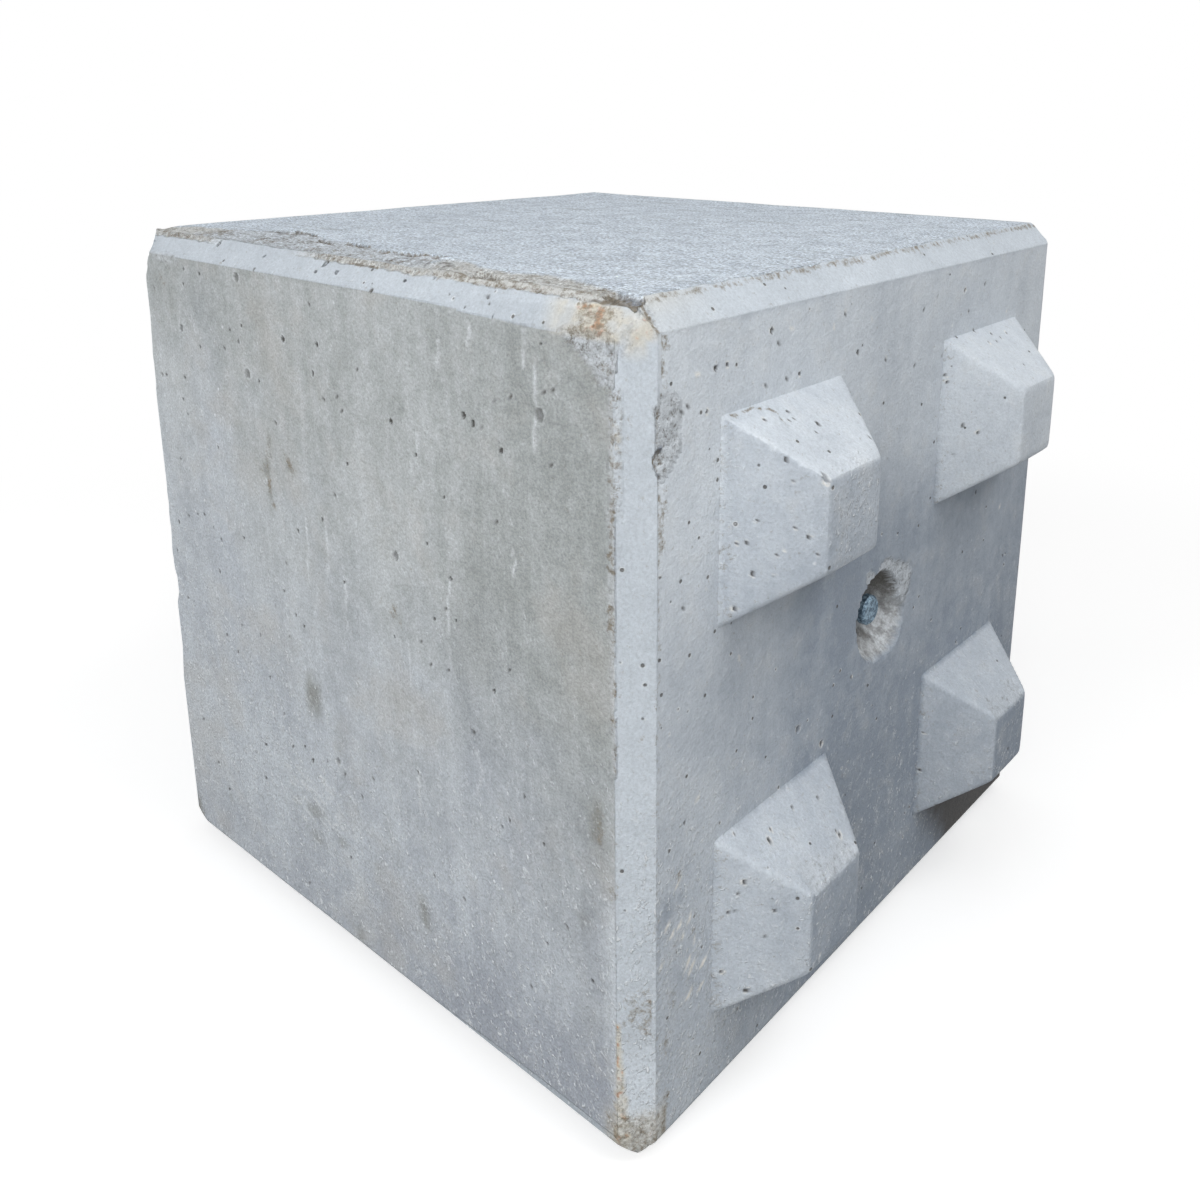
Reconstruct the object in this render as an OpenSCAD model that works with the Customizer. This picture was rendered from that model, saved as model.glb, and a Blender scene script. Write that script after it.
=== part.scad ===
// Interlocking concrete bulk bay block with a cast-in lifting anchor.
// Millimetres. The origin is the middle of the face that the block stands on, +Z is up,
// and the studded face looks along +X. The sockets that take the next block's studs look along -X.

/* [Grid] */
// Pitch of the building grid: neighbouring studs are this far apart, on one block and across its joints
grid_pitch = 300; // [250:5:400]
// Number of grid steps in the block's width, along Y
columns = 2; // [2:1:6]
// Number of grid steps in the block's height, along Z
rows = 2; // [2:1:4]

/* [Block] */
// Length of the block along X, without its studs
body_length = 600; // [300:5:1800]
// Leg of the chamfer that the mould leaves along every edge
edge_chamfer = 18; // [5:1:40]

/* [Studs] */
// Side of a stud's square base
stud_base = 142; // [110:1:180]
// Side of a stud's square tip
stud_tip = 64; // [40:1:100]
// Height of a stud above its face
stud_height = 56; // [30:1:80]

/* [Sockets] */
// Room beside a stud, all round, when it lies in its socket
socket_side_clearance = 5; // [2:0.5:8]
// Room in front of a stud's tip when it lies in its socket
socket_depth_clearance = 6; // [2:0.5:12]

/* [Lifting recess] */
// Diameter of the recess where it breaks through the studded face
recess_mouth = 74; // [60:1:94]
// Depth of the round recess
recess_depth = 30; // [24:1:36]
// Height of the recess above the middle of the studded face
recess_rise = 8; // [0:1:16]

/* [Lifting anchor] */
// Distance from the studded face down to the top of the anchor's head
anchor_inset = 10; // [6:0.5:12]
// Diameter of the anchor's head
anchor_head_diameter = 25; // [20:0.5:30]
// Height of the straight rim of the head
anchor_head_rim = 5; // [3:0.5:7]
// Height of the cone between the head and the shaft
anchor_head_cone = 5.5; // [4:0.5:8]
// Width of the slope that rounds off the top of the head
anchor_head_edge = 2; // [1:0.5:3]
// Diameter of the anchor's shaft
anchor_shaft_diameter = 14; // [10:0.5:17]
// Length of the anchor from the top of its head to the end of its foot
anchor_length = 120; // [85:5:170]
// Diameter of the forged foot that holds the anchor in the concrete
anchor_foot_diameter = 35; // [25:1:50]
// Height of the straight rim of the foot
anchor_foot_rim = 5; // [3:0.5:8]
// Height of the cone between the shaft and the foot
anchor_foot_cone = 10; // [5:0.5:15]

/* [Hidden] */
// How far a cutting shape runs past the surface that it opens
cut_overrun = 1;
round_fn = 96;

body_width = columns * grid_pitch;
body_height = rows * grid_pitch;
face_x = body_length / 2;
body_mid = [0, 0, body_height / 2];

// A stud's sides keep one slope, and its socket repeats that slope with room all round.
stud_slope = (stud_base - stud_tip) / 2 / stud_height;
socket_mouth = stud_base + 2 * socket_side_clearance;
socket_depth = stud_height + socket_depth_clearance;
socket_floor = socket_mouth - 2 * stud_slope * socket_depth;

// The recess is the cap of a ball whose centre lies in front of the face.
recess_ball_r = (pow(recess_mouth / 2, 2) + pow(recess_depth, 2)) / (2 * recess_depth);
recess_ball_offset = recess_ball_r - recess_depth;

// Places of the studs, as [y, z] from the middle of the face. A stud that would close the recess is left out.
stud_places = [
    for (column = [0 : columns - 1], row = [0 : rows - 1])
        let (y = (column - (columns - 1) / 2) * grid_pitch,
             z = (row - (rows - 1) / 2) * grid_pitch)
            if (max(abs(y), abs(z - recess_rise)) > (stud_base + recess_mouth) / 2)
                [y, z]
];

// Square with its four corners cut at 45 degrees, size = [width, height]
module chamfered_rectangle(size, leg) {
    w = size[0] / 2;
    h = size[1] / 2;
    polygon([
        [-w + leg, -h], [w - leg, -h], [w, -h + leg], [w, h - leg],
        [w - leg, h], [-w + leg, h], [-w, h - leg], [-w, -h + leg]
    ]);
}

// Box with a chamfer along each of its twelve edges, centred on the origin
module chamfered_box(size, leg) {
    intersection() {
        linear_extrude(size[2], center = true)
            chamfered_rectangle([size[0], size[1]], leg);
        rotate([90, 0, 0])
            linear_extrude(size[1], center = true)
                chamfered_rectangle([size[0], size[2]], leg);
        rotate([90, 0, 90])
            linear_extrude(size[0], center = true)
                chamfered_rectangle([size[1], size[2]], leg);
    }
}

// Truncated square pyramid that rises along +X. It runs back behind x = 0 by `root` at its base's size,
// so that it either joins its face or cuts clean through it.
module square_pyramid(base, tip, height, root) {
    outline = [
        [-root, -base / 2], [0, -base / 2], [height, -tip / 2],
        [height, tip / 2], [0, base / 2], [-root, base / 2]
    ];
    intersection() {
        linear_extrude(base, center = true)
            polygon(outline);
        rotate([90, 0, 0])
            linear_extrude(base, center = true)
                polygon(outline);
    }
}

// Repeats its children at every stud's place on a face at x = 0
module at_stud_places() {
    for (place = stud_places)
        translate([0, place[0], place[1]])
            children();
}

module studs() {
    translate([face_x, 0, 0])
        at_stud_places()
            square_pyramid(stud_base, stud_tip, stud_height, edge_chamfer);
}

module socket_cuts() {
    translate([-face_x, 0, 0])
        at_stud_places()
            square_pyramid(socket_mouth, socket_floor, socket_depth, cut_overrun);
}

module recess_cut() {
    translate([face_x + recess_ball_offset, 0, recess_rise])
        sphere(recess_ball_r, $fn = round_fn);
}

// The anchor as one turned shape. Its axis is X, its head looks along +X and the head's top is at x = 0.
module anchor_shape() {
    head_r = anchor_head_diameter / 2;
    shaft_r = anchor_shaft_diameter / 2;
    foot_r = anchor_foot_diameter / 2;
    rim_end = anchor_head_edge + anchor_head_rim;
    rotate([0, 90, 0])
        rotate_extrude($fn = round_fn)
            polygon([
                [0, 0],
                [head_r - anchor_head_edge, 0],
                [head_r, -anchor_head_edge],
                [head_r, -rim_end],
                [shaft_r, -rim_end - anchor_head_cone],
                [shaft_r, -anchor_length + anchor_foot_rim + anchor_foot_cone],
                [foot_r, -anchor_length + anchor_foot_rim],
                [foot_r, -anchor_length],
                [0, -anchor_length]
            ]);
}

// The anchor where it is cast in, measured from the middle of the block
module anchor_in_place() {
    translate([face_x - anchor_inset, 0, recess_rise])
        anchor_shape();
}

module concrete_block() {
    color("#b4babf")
        translate(body_mid)
            difference() {
                union() {
                    chamfered_box([body_length, body_width, body_height], edge_chamfer);
                    studs();
                }
                socket_cuts();
                recess_cut();
                anchor_in_place();
            }
}

module lifting_anchor() {
    color("#6f8190")
        translate(body_mid)
            anchor_in_place();
}

concrete_block();
lifting_anchor();
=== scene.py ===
"""Interlocking concrete bay block: the looks of its cast faces, its wear and its lifting anchor."""

import itertools
import math

import bpy
import numpy as np
from mathutils import Matrix, Vector


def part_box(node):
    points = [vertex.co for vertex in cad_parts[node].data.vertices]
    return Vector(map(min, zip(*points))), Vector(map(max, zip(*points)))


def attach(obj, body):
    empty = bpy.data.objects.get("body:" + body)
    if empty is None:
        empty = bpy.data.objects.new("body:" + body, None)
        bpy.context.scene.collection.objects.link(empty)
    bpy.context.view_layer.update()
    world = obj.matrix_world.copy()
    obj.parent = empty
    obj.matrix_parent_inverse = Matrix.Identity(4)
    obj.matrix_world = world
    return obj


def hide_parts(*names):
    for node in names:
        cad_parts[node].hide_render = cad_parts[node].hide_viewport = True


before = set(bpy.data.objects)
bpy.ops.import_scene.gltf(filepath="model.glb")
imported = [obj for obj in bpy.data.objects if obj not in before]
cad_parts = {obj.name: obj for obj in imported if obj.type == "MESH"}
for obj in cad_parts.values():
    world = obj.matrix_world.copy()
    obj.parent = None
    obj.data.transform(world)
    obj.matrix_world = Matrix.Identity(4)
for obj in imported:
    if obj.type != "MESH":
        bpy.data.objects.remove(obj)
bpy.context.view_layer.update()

# ---------------------------------------------------------------------------
# Sizes, in millimetres. The block stands on z = 0 and its middle is at x = y = 0.
# ---------------------------------------------------------------------------
MM = 0.001
block_low, block_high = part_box("concrete_block")
SIDE = round((block_high.y - block_low.y) / MM)
HALF = SIDE / 2
STUD_HEIGHT = round((block_high.x - block_low.x) / MM) - SIDE
MIDDLE = np.array([0.0, 0.0, HALF])

EDGE = 18.0              # leg of the chamfer along every edge
PITCH = 300.0            # distance between neighbouring studs
STUD_BASE = 142.0        # side of a stud's square base
STUD_TIP = 64.0          # side of a stud's square tip
SOCKET_MOUTH = 152.0     # side of a socket where it opens
SOCKET_DEPTH = 62.0
RECESS_MOUTH = 74.0      # diameter of the lifting recess
RECESS_DEPTH = 30.0
anchor_low, anchor_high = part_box("lifting_anchor")
RECESS_Z = round((anchor_low.z + anchor_high.z) / 2 / MM)

LEAST_DEPTH = 0.02       # the worn skin lies at least this far behind the planes of the CAD
TOUCH = 0.001            # how far a place may miss a plane and still lie on it

# The lower edge of the chamfer over the plain side sinks by EDGE_SINK between these two places along x
EDGE_SINK = 4.5
SINK_START, SINK_END = 60.0, 230.0

STUD_SLOPE = 2 * STUD_HEIGHT / (STUD_BASE - STUD_TIP)
STUD_PLACES = [(y, z) for y in (-PITCH / 2, PITCH / 2) for z in (HALF - PITCH / 2, HALF + PITCH / 2)]
# Distances of the chamfers' planes from the middle of the base
UPPER_CHAMFER = (SIDE + HALF - EDGE) / math.sqrt(2)
UPRIGHT_CHAMFER = (SIDE - EDGE) / math.sqrt(2)


# ---------------------------------------------------------------------------
# Noise and soft steps
# ---------------------------------------------------------------------------
NOISE_TABLE = 32         # cells after which a layer of noise repeats
LAYERS_REACH = 1.3       # about how far the summed layers of rough noise reach


def smooth_step(low, high, value):
    """0 below low, 1 above high, and an S-curve between them."""
    t = np.clip((value - low) / (high - low), 0.0, 1.0)
    return t * t * (3 - 2 * t)


def soft_min(a, b, width):
    """The lower of a and b, with the corner between them rounded over about width."""
    return 0.5 * (a + b - np.sqrt((a - b) ** 2 + width**2))


def soft_max(a, b, width):
    """The higher of a and b, with the corner between them rounded over about width."""
    return 0.5 * (a + b + np.sqrt((a - b) ** 2 + width**2))


def value_noise(points, grain, seed):
    """Random values at the corners of a cubic lattice with spacing grain, blended smoothly; -1 to 1."""
    table = np.random.default_rng(seed).uniform(-1, 1, (NOISE_TABLE,) * 3)
    cell = np.floor(points / grain).astype(int)
    t = points / grain - cell
    t = t * t * (3 - 2 * t)
    total = np.zeros(len(points))
    for corner in np.ndindex(2, 2, 2):
        weight = np.prod(np.where(np.array(corner) == 1, t, 1 - t), axis=1)
        total += weight * table[tuple(((cell + corner) % NOISE_TABLE).T)]
    return total


def rough_noise(points, grain, octaves, seed):
    """Sum of value_noise layers, each with half the grain and half the height of the one before, brought to
    about -1 to 1."""
    layers = [value_noise(points, grain / 2**k, seed + k) / 2**k for k in range(octaves)]
    return sum(layers) / LAYERS_REACH


# ---------------------------------------------------------------------------
# Marks on the faces: places given in millimetres
# ---------------------------------------------------------------------------
# Air holes in the plain side face, as (x, z, radius)
SIDE_HOLES = [
    (-11, 535, 1.8), (-19, 512, 1.6), (10, 499, 1.0), (15, 490, 1.0), (73, 492, 1.8), (17, 449, 1.5),
    (117, 566, 1.0), (224, 568, 1.2), (151, 511, 1.9), (160, 507, 1.7), (168, 506, 1.0), (181, 526, 1.0),
    (196, 531, 1.0), (226, 539, 1.0), (233, 542, 1.1), (232, 550, 1.0), (221, 524, 3.8), (185, 500, 1.0),
    (186, 494, 1.9), (232, 494, 1.1), (127, 449, 1.2), (92, 425, 1.0), (125, 427, 1.0), (106, 410, 1.4),
    (69, 391, 3.0), (179, 445, 1.1), (97, 533, 1.0), (-2, 421, 1.0), (77, 430, 1.0), (169, 478, 1.0),
    (99, 473, 1.4), (-116, 574, 3.1), (-173, 571, 1.6), (-199, 573, 1.2), (-240, 569, 1.1),
    (-202, 560, 1.2), (-253, 551, 1.1), (-213, 521, 3.0), (-56, 533, 2.0), (-112, 497, 3.6),
    (-121, 522, 1.4), (-18, 564, 1.0), (-216, 478, 1.5), (-249, 475, 1.4), (-145, 513, 1.0), (94, 331, 1.0),
    (103, 317, 1.0), (73, 303, 1.0), (-151, 215, 1.0), (-121, 227, 1.2), (-94, 172, 1.1), (-119, 161, 1.0),
    (-157, 140, 1.2), (-64, 170, 1.5), (-25, 186, 2.6), (147, 280, 2.4), (130, 391, 1.7), (-215, 76, 1.5),
    (-112, 124, 1.0), (5, 166, 1.0), (-144, 119, 1.4), (198, 252, 1.3), (182, 226, 1.3), (216, 223, 1.2),
    (173, 167, 1.0), (174, 217, 1.3), (236, 169, 1.0), (-223, 457, 1.2), (-218, 445, 1.2), (-184, 509, 1.3),
    (-133, 530, 1.2), (-115, 536, 1.2), (-96, 494, 1.4), (-7, 494, 1.1), (37, 523, 1.1), (-51, 553, 1.1),
    (-57, 378, 1.4), (-256, 336, 1.5), (-181, 338, 1.3), (-193, 346, 1.2), (-143, 350, 1.2),
    (-266, 305, 1.2), (-171, 424, 1.2), (-76, 464, 1.1), (-240, 400, 1.3), (-207, 355, 1.2),
    (-219, 352, 1.2), (-190, 306, 1.5), (-255, 261, 1.3), (-86, 318, 1.3), (-189, 245, 1.2), (2, 351, 1.4),
    (23, 316, 1.1), (123, 319, 1.1), (125, 338, 1.1), (134, 361, 1.2), (124, 367, 1.0), (62, 325, 1.2),
    (-130, 264, 1.2), (-161, 263, 1.2), (-172, 234, 1.2), (-139, 155, 1.3), (-75, 179, 1.2),
    (-42, 179, 1.2), (22, 189, 1.1), (81, 221, 1.2), (-60, 295, 1.2), (110, 355, 1.2),
]
# Air holes in the studded face and in its studs, as (y, z, radius)
STUD_HOLES = [
    (-169, 566, 1.7), (-161, 557, 1.0), (-146, 565, 0.9), (-227, 552, 1.8), (-216, 552, 1.2),
    (-245, 551, 1.0), (-243, 545, 1.0), (-254, 533, 1.0), (-244, 563, 0.9), (-147, 545, 1.0),
    (-136, 537, 0.9), (-144, 533, 0.9), (-175, 531, 1.1), (-59, 534, 1.8), (-93, 558, 1.0), (-79, 565, 1.0),
    (-41, 555, 1.0), (-38, 521, 0.9), (111, 558, 1.3), (150, 559, 1.1), (39, 552, 1.0), (61, 559, 0.9),
    (121, 539, 1.3), (30, 508, 1.1), (76, 508, 0.9), (198, 529, 0.9), (153, 516, 1.5), (149, 511, 1.2),
    (136, 512, 1.0), (177, 514, 1.1), (161, 512, 1.0), (133, 521, 1.2), (140, 519, 1.0), (151, 494, 0.9),
    (90, 450, 1.1), (97, 444, 1.2), (81, 486, 1.4), (86, 424, 0.9), (164, 368, 1.5), (220, 338, 1.0),
    (-148, 504, 2.1), (-157, 501, 1.2), (-190, 514, 1.1), (-164, 514, 1.7), (-165, 510, 1.1),
    (-170, 510, 0.9), (-100, 501, 1.2), (-113, 491, 1.2), (-183, 483, 2.6), (-198, 494, 1.7),
    (-207, 504, 1.0), (-213, 501, 0.9), (-195, 481, 0.9), (-208, 454, 1.2), (-211, 439, 1.2),
    (-215, 438, 0.9), (-189, 444, 1.1), (-194, 450, 0.9), (-191, 434, 0.9), (-200, 431, 0.9),
    (-186, 433, 0.9), (-201, 417, 1.0), (-209, 418, 1.4), (-215, 393, 1.4), (-219, 412, 0.9),
    (-86, 232, 1.9), (-118, 209, 1.5), (-144, 212, 1.1), (-174, 211, 0.9), (-181, 208, 1.6),
    (-162, 207, 0.9), (-124, 192, 1.4), (-125, 194, 0.9), (-203, 219, 0.9), (-209, 191, 1.5),
    (-211, 181, 0.9), (-197, 169, 1.1), (-200, 148, 0.9), (-207, 102, 1.6), (-217, 116, 1.2),
    (-215, 165, 1.2), (-240, 264, 1.0), (-256, 406, 1.1), (-235, 411, 0.9), (-253, 253, 1.3),
    (-120, 259, 2.6), (81, 127, 1.3), (82, 165, 1.2), (146, 227, 1.3),
]
# Air holes in the chamfer over the plain side face, as (x, height above the middle of the chamfer, radius)
RIM_HOLES = [
    (-162, 4.7, 1.6), (-90, -8.0, 1.1), (-9, 2.5, 1.8), (10, -1.5, 1.1), (-14, -3.3, 1.1), (59, -8.5, 1.5),
    (135, -3.0, 1.2), (170, -1.5, 1.4), (174, -4.5, 1.2), (155, -9.0, 1.0), (193, -1.3, 1.0),
    (-88, 1.1, 0.9), (-42, -2.7, 0.9), (112, 4.0, 0.9), (208, 5.0, 1.0), (86, 0.0, 0.9),
]
# Dark blotches on the plain side face, as (x, z, half width, half height, strength)
SIDE_BLOTCHES = [
    (-55, 234, 9, 18, 1.2), (45, 132, 6, 12, 0.6), (18, 104, 6, 9, 0.6), (80, 96, 7, 14, 0.9),
    (-12, 26, 11, 9, 0.5), (39, 157, 5, 9, 0.35), (-68, 95, 20, 12, 0.45), (-213, 67, 4, 10, 0.5),
    (162, 101, 5, 9, 0.35), (256, 181, 5, 9, 0.7), (258, 108, 12, 10, 0.4), (266, 262, 6, 20, 0.9),
    (110, 53, 4, 7, 0.3), (-283, 30, 9, 18, 0.9), (-20, 205, 9, 12, 0.35), (-100, 420, 26, 34, 0.28),
    (60, 470, 30, 30, 0.2), (150, 330, 40, 60, 0.22), (-40, 330, 30, 50, 0.2), (240, 330, 16, 60, 0.3),
    (-95, 423, 6, 12, 0.8), (-87, 442, 3, 18, 0.6), (-92, 399, 4, 16, 0.6), (-61, 430, 7, 6, 0.5),
    (66, 345, 8, 7, 0.4), (256, 183, 6, 12, 0.6), (-240, 556, 12, 12, 0.3), (257, 104, 9, 22, 0.4),
    (-64, 121, 22, 11, 0.5), (-28, 108, 14, 8, 0.45), (-95, 118, 12, 8, 0.35), (38, 150, 6, 10, 0.4),
    (-10, 150, 9, 7, 0.35), (-215, 67, 4, 12, 0.4), (46, 130, 5, 8, 0.4),
]
# Thin raised drips of lime on the plain side face, as lines of (x, z)
DRIPS = [
    [(130, 389), (128, 381), (125, 366), (126, 352), (124, 341), (126, 329), (125, 320)],
    [(147, 277), (148, 269), (152, 262), (155, 254), (152, 241), (148, 231)],
    [(100, 490), (102, 483), (101, 476), (98, 468)], [(159, 573), (161, 567), (157, 558)],
    [(210, 575), (210, 564), (209, 552)], [(218, 553), (218, 539), (220, 528), (217, 514), (217, 500)],
    [(128, 557), (127, 537)], [(2, 353), (4, 344), (3, 335), (1, 324), (3, 313)],
    [(194, 428), (196, 422), (194, 412)],
    [(78, 328), (80, 303), (78, 278), (80, 262), (80, 240), (82, 217), (81, 185)],
    [(-45, 392), (-44, 372), (-47, 350), (-46, 338)], [(-18, 400), (-17, 371), (-19, 352)],
]
# Short raised strokes of lime on the studded face beside the near chamfer, as lines of (y, z)
STROKES = [
    [(-272, 183), (-268, 186)], [(-248, 173), (-246, 178)], [(-242, 154), (-241, 157)],
    [(-233, 128), (-229, 132)], [(-261, 209), (-257, 213)], [(-236, 110), (-232, 113)],
    [(-251, 137), (-246, 145)], [(-246, 132), (-242, 138)], [(-277, 155), (-276, 158)],
    [(-248, 113), (-244, 117)], [(-258, 176), (-257, 178)], [(-255, 165), (-254, 167)],
    [(-266, 174), (-264, 176)],
]
# Brown stains on the plain side face, as (line of (x, z), reach, strength)
SIDE_STAINS = [
    ([(-86, 464), (-88, 446), (-95, 424)], 3.5, 0.6), ([(-105, 420), (-97, 423)], 5.0, 1.0),
    ([(-93, 412), (-92, 403), (-90, 388)], 4.5, 0.95), ([(-66, 438), (-56, 428)], 4.5, 0.9),
    ([(64, 349), (67, 341)], 5.0, 0.6), ([(-240, 562), (-236, 556)], 6.0, 0.6),
    ([(270, 270), (268, 246)], 5.0, 0.5), ([(49, 352), (56, 349), (58, 346)], 3.5, 0.5),
    ([(-62, 185), (-52, 176)], 4.0, 0.5),
]
# Chipped upper edges of the lower studs' tips, as (y of the stud's middle, reach to the left, to the right)
TIP_CHIPS = [(-150, 28, 32), (150, 32, 32)]
# Tones of the studs in the order of STUD_PLACES: upper flank, left flank, tip, and the other flanks
STUD_TONES = [
    (0.64, 0.58, 0.25, 0.4), (0.75, 0.44, 0.30, 0.5), (0.69, 0.56, 0.09, 0.3), (0.80, 0.80, 0.72, 0.6),
]
# The crack where the skin peels at the top of a stud, and the thin joint line of the mould, as (y, z)
PEELING_CRACK = [
    (-213.2, 519.4), (-206.7, 519.2), (-198.2, 519.4), (-189.6, 519.6), (-184.5, 518.4), (-178.6, 517.5),
    (-174.8, 515.9), (-174.4, 514.1), (-175.0, 512.3), (-176.2, 509.0),
]
JOINT_LINE = [(-276.5, 580), (-277, 554), (-279, 531), (-280, 483), (-280.5, 355), (-280.5, 18)]
# Overhangs of the trowelled layer along the rough margin, as lines of (x, y)
OVERHANGS = [
    [(-167, -211), (-140, -218), (-112, -223)], [(-97, -233), (-91, -239), (-70, -244)],
    [(-61, -233), (-29, -236)], [(-10, -244), (9, -246), (36, -240), (62, -236)], [(-45, -255), (-32, -253)],
]
# The undercut at the far end of the margin
UNDERCUT = [(-285, -262), (-248, -271), (-195, -273), (-170, -279)]
# The dark groove where the two upper chamfers and the near one meet, as (x, y, z)
CORNER_SEAM = [(280, -278, 601), (288, -280, 594), (300, -281, 582)]
# Stones laid bare, as (x, y, radius) on the casting face and (y, z, radius) on the studded face
TOP_STONES = [(77, -259, 4.0), (95, -262, 3.0)]
STUD_STONES = [(-278, 512, 3.0), (-281, 497, 3.0)]


# The marks that the skin carries for its material, each 0 to 1. A face sets these for all its points: how
# pale and how cool it is, and how many lime flecks and pin holes it has
FACE_MARKS = ("pale", "cool", "flecks", "pocks")
# The others lie on top: broken concrete, dirt, painted shade in air holes and cracks and painted shadow with
# dirt below the lower right stud, the recess's bowl, cream and rust, raised lime, grime with painted shade in
# the bowl, and bare stones
MARKS = ("broken", "soil", "hole", "bowl", "warm", "drip", "grime", "stone") + FACE_MARKS


def random_marks(count, low, high, radii, seed):
    """count places spread evenly at random over a rectangle, with radii skewed towards the smaller ones."""
    rng = np.random.default_rng(seed)
    places = rng.uniform(low, high, (count, 2))
    radius = radii[0] + (radii[1] - radii[0]) * rng.random(count) ** 3
    return np.column_stack([places, radius])


def on_flanks(marks):
    """The marks with two more columns: how much each narrows across and upwards. On a stud's flank, a round
    hole looks narrower from the front, by the cosine of the flank's slope."""
    squeeze = np.ones((len(marks), 2))
    run = (STUD_BASE - STUD_TIP) / 2
    cosine = run / math.hypot(run, STUD_HEIGHT)
    for stud_y, stud_z in STUD_PLACES:
        across, up = np.abs(marks[:, 0] - stud_y), np.abs(marks[:, 1] - stud_z)
        far = np.maximum(across, up)
        flank_here = (far < STUD_BASE / 2) & (far > STUD_TIP / 2)
        squeeze[flank_here & (across >= up), 0] = cosine
        squeeze[flank_here & (across < up), 1] = cosine
    return np.hstack([marks, squeeze])


def random_dashes(count, middle, spread, lean, lengths, seed):
    """count short straight lines spread about a place, which lean about lean degrees, as pairs of places."""
    rng = np.random.default_rng(seed)
    places = middle + np.array(spread) * rng.normal(size=(count, 2))
    angles = np.radians(lean + 14 * rng.normal(size=count))
    runs = rng.uniform(*lengths, (count, 1)) / 2 * np.column_stack([np.cos(angles), np.sin(angles)])
    return np.stack([places - runs, places + runs], axis=1)


SCUFFS = random_dashes(52, (-60, 126), (27, 20), -14, (4, 12), 13)
SIDE_MARKS = np.vstack([SIDE_HOLES, random_marks(36, (-270, 30), (270, 560), (0.8, 1.4), 11)])
STUD_MARKS = np.vstack([STUD_HOLES, random_marks(30, (-270, 30), (270, 560), (0.7, 1.3), 12)])


WIDE_HOLE = 2.2          # radius from which light falls into an air hole


def hole_depth(u, v, marks, ragged):
    """Depth of the air holes at (u, v), each the lower part of a ball, flatter when it is wide, with its edge
    shifted by ragged; and the share of the lime rims round them, which are there where ragged is high."""
    depth, rims = np.zeros(len(u)), np.zeros(len(u))
    for mark_u, mark_v, radius, *squeeze in marks:
        wide, high = squeeze or (1, 1)
        near = np.flatnonzero((np.abs(u - mark_u) < 2 * radius) & (np.abs(v - mark_v) < 2 * radius))
        away = np.hypot((u[near] - mark_u) / wide, 0.8 * (v[near] - mark_v) / high)
        away = away / (radius * (1 + 0.25 * ragged[near]))
        deep = 1.3 * radius / (1 + (radius / 3) ** 2)
        depth[near] = np.maximum(depth[near], deep * np.sqrt(np.clip(1 - away**2, 0, 1)))
        rim = smooth_step(1.75, 1.35, away) * smooth_step(0.95, 1.1, away)
        rims[near] = np.maximum(rims[near], rim * smooth_step(-0.15, 0.25, ragged[near]))
    return depth, rims


def hole_tint(u, v, marks, depth):
    """Painted shade in the holes: the small ones dark in full, the wide ones half, as light falls into them.
    """
    wide = np.zeros(len(u))
    for mark_u, mark_v, radius, *_ in marks:
        if radius > WIDE_HOLE:
            wide = np.maximum(wide, np.hypot(u - mark_u, v - mark_v) < 1.3 * radius)
    return smooth_step(0.2, 0.8, depth) * (1 - 0.45 * wide)


def line_distance(u, v, path):
    """Shortest distance from each point to a bent line: to the nearest place on its nearest stretch."""
    best = np.full(len(u), np.inf)
    for (au, av), (bu, bv) in zip(path[:-1], path[1:]):
        du, dv = bu - au, bv - av
        t = np.clip(((u - au) * du + (v - av) * dv) / (du**2 + dv**2), 0, 1)
        best = np.minimum(best, np.hypot(u - au - t * du, v - av - t * dv))
    return best


def nearest_line(u, v, paths):
    """Shortest distance from each point to any of several bent lines."""
    return np.min([line_distance(u, v, path) for path in paths], axis=0)


def blotches(u, v, table):
    """Soft oval patches: the strongest of exp(-(distance in half sizes) squared) times strength."""
    total = np.zeros(len(u))
    for mark_u, mark_v, half_u, half_v, strength in table:
        away = ((u - mark_u) / half_u) ** 2 + ((v - mark_v) / half_v) ** 2
        total = np.maximum(total, strength * np.exp(-away))
    return total


# ---------------------------------------------------------------------------
# The skin's lattice: a cube's surface in square cells, small where there is detail
# ---------------------------------------------------------------------------
ROOT = 32                # steps along the side of the largest cells, about 19 mm
HALF_STEPS = 480         # steps from the middle of a face to its side, about 0.6 mm each
CHAMFER_CELLS = 8        # steps of the cells along the chamfers
FACE_CELLS = 16          # steps of the cells on the faces in plain view
# Where a stud's base and its tip start, from the middle of the face
near_stud = PITCH / 2 - STUD_BASE / 2
near_tip = PITCH / 2 - STUD_TIP / 2
# Steps from the middle and the millimetres that they reach, so that lattice lines run along the studs' edges
HALF_KNOTS = [(0, 0.0), (128, near_stud), (192, near_tip), (288, near_tip + STUD_TIP),
              (352, near_stud + STUD_BASE), (448, HALF - EDGE), (HALF_STEPS, HALF)]
FAR_KNOTS = HALF_KNOTS[1:]
KNOT_STEPS = np.array([HALF_STEPS - s for s, _ in FAR_KNOTS[::-1]] + [HALF_STEPS + s for s, _ in HALF_KNOTS])
KNOT_MM = np.array([-p for _, p in FAR_KNOTS[::-1]] + [p for _, p in HALF_KNOTS])
STEPS = 2 * HALF_STEPS
SIDES = [(axis, side) for axis in range(3) for side in (-1, 1)]


def lattice_points(face, u, v):
    """Whole-number lattice points on the cube: u and v run along the two axes after the face's own."""
    axis = np.array([a for a, _ in SIDES])[face]
    side = np.array([s for _, s in SIDES])[face]
    points = np.empty((len(face), 3), int)
    rows = np.arange(len(face))
    points[rows, axis] = np.where(side > 0, STEPS, 0)
    points[rows, (axis + 1) % 3] = u
    points[rows, (axis + 2) % 3] = v
    return points


def lattice_mm(points):
    """Millimetres on the cube, from its middle, of lattice points."""
    return np.interp(points, KNOT_STEPS, KNOT_MM)


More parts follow.
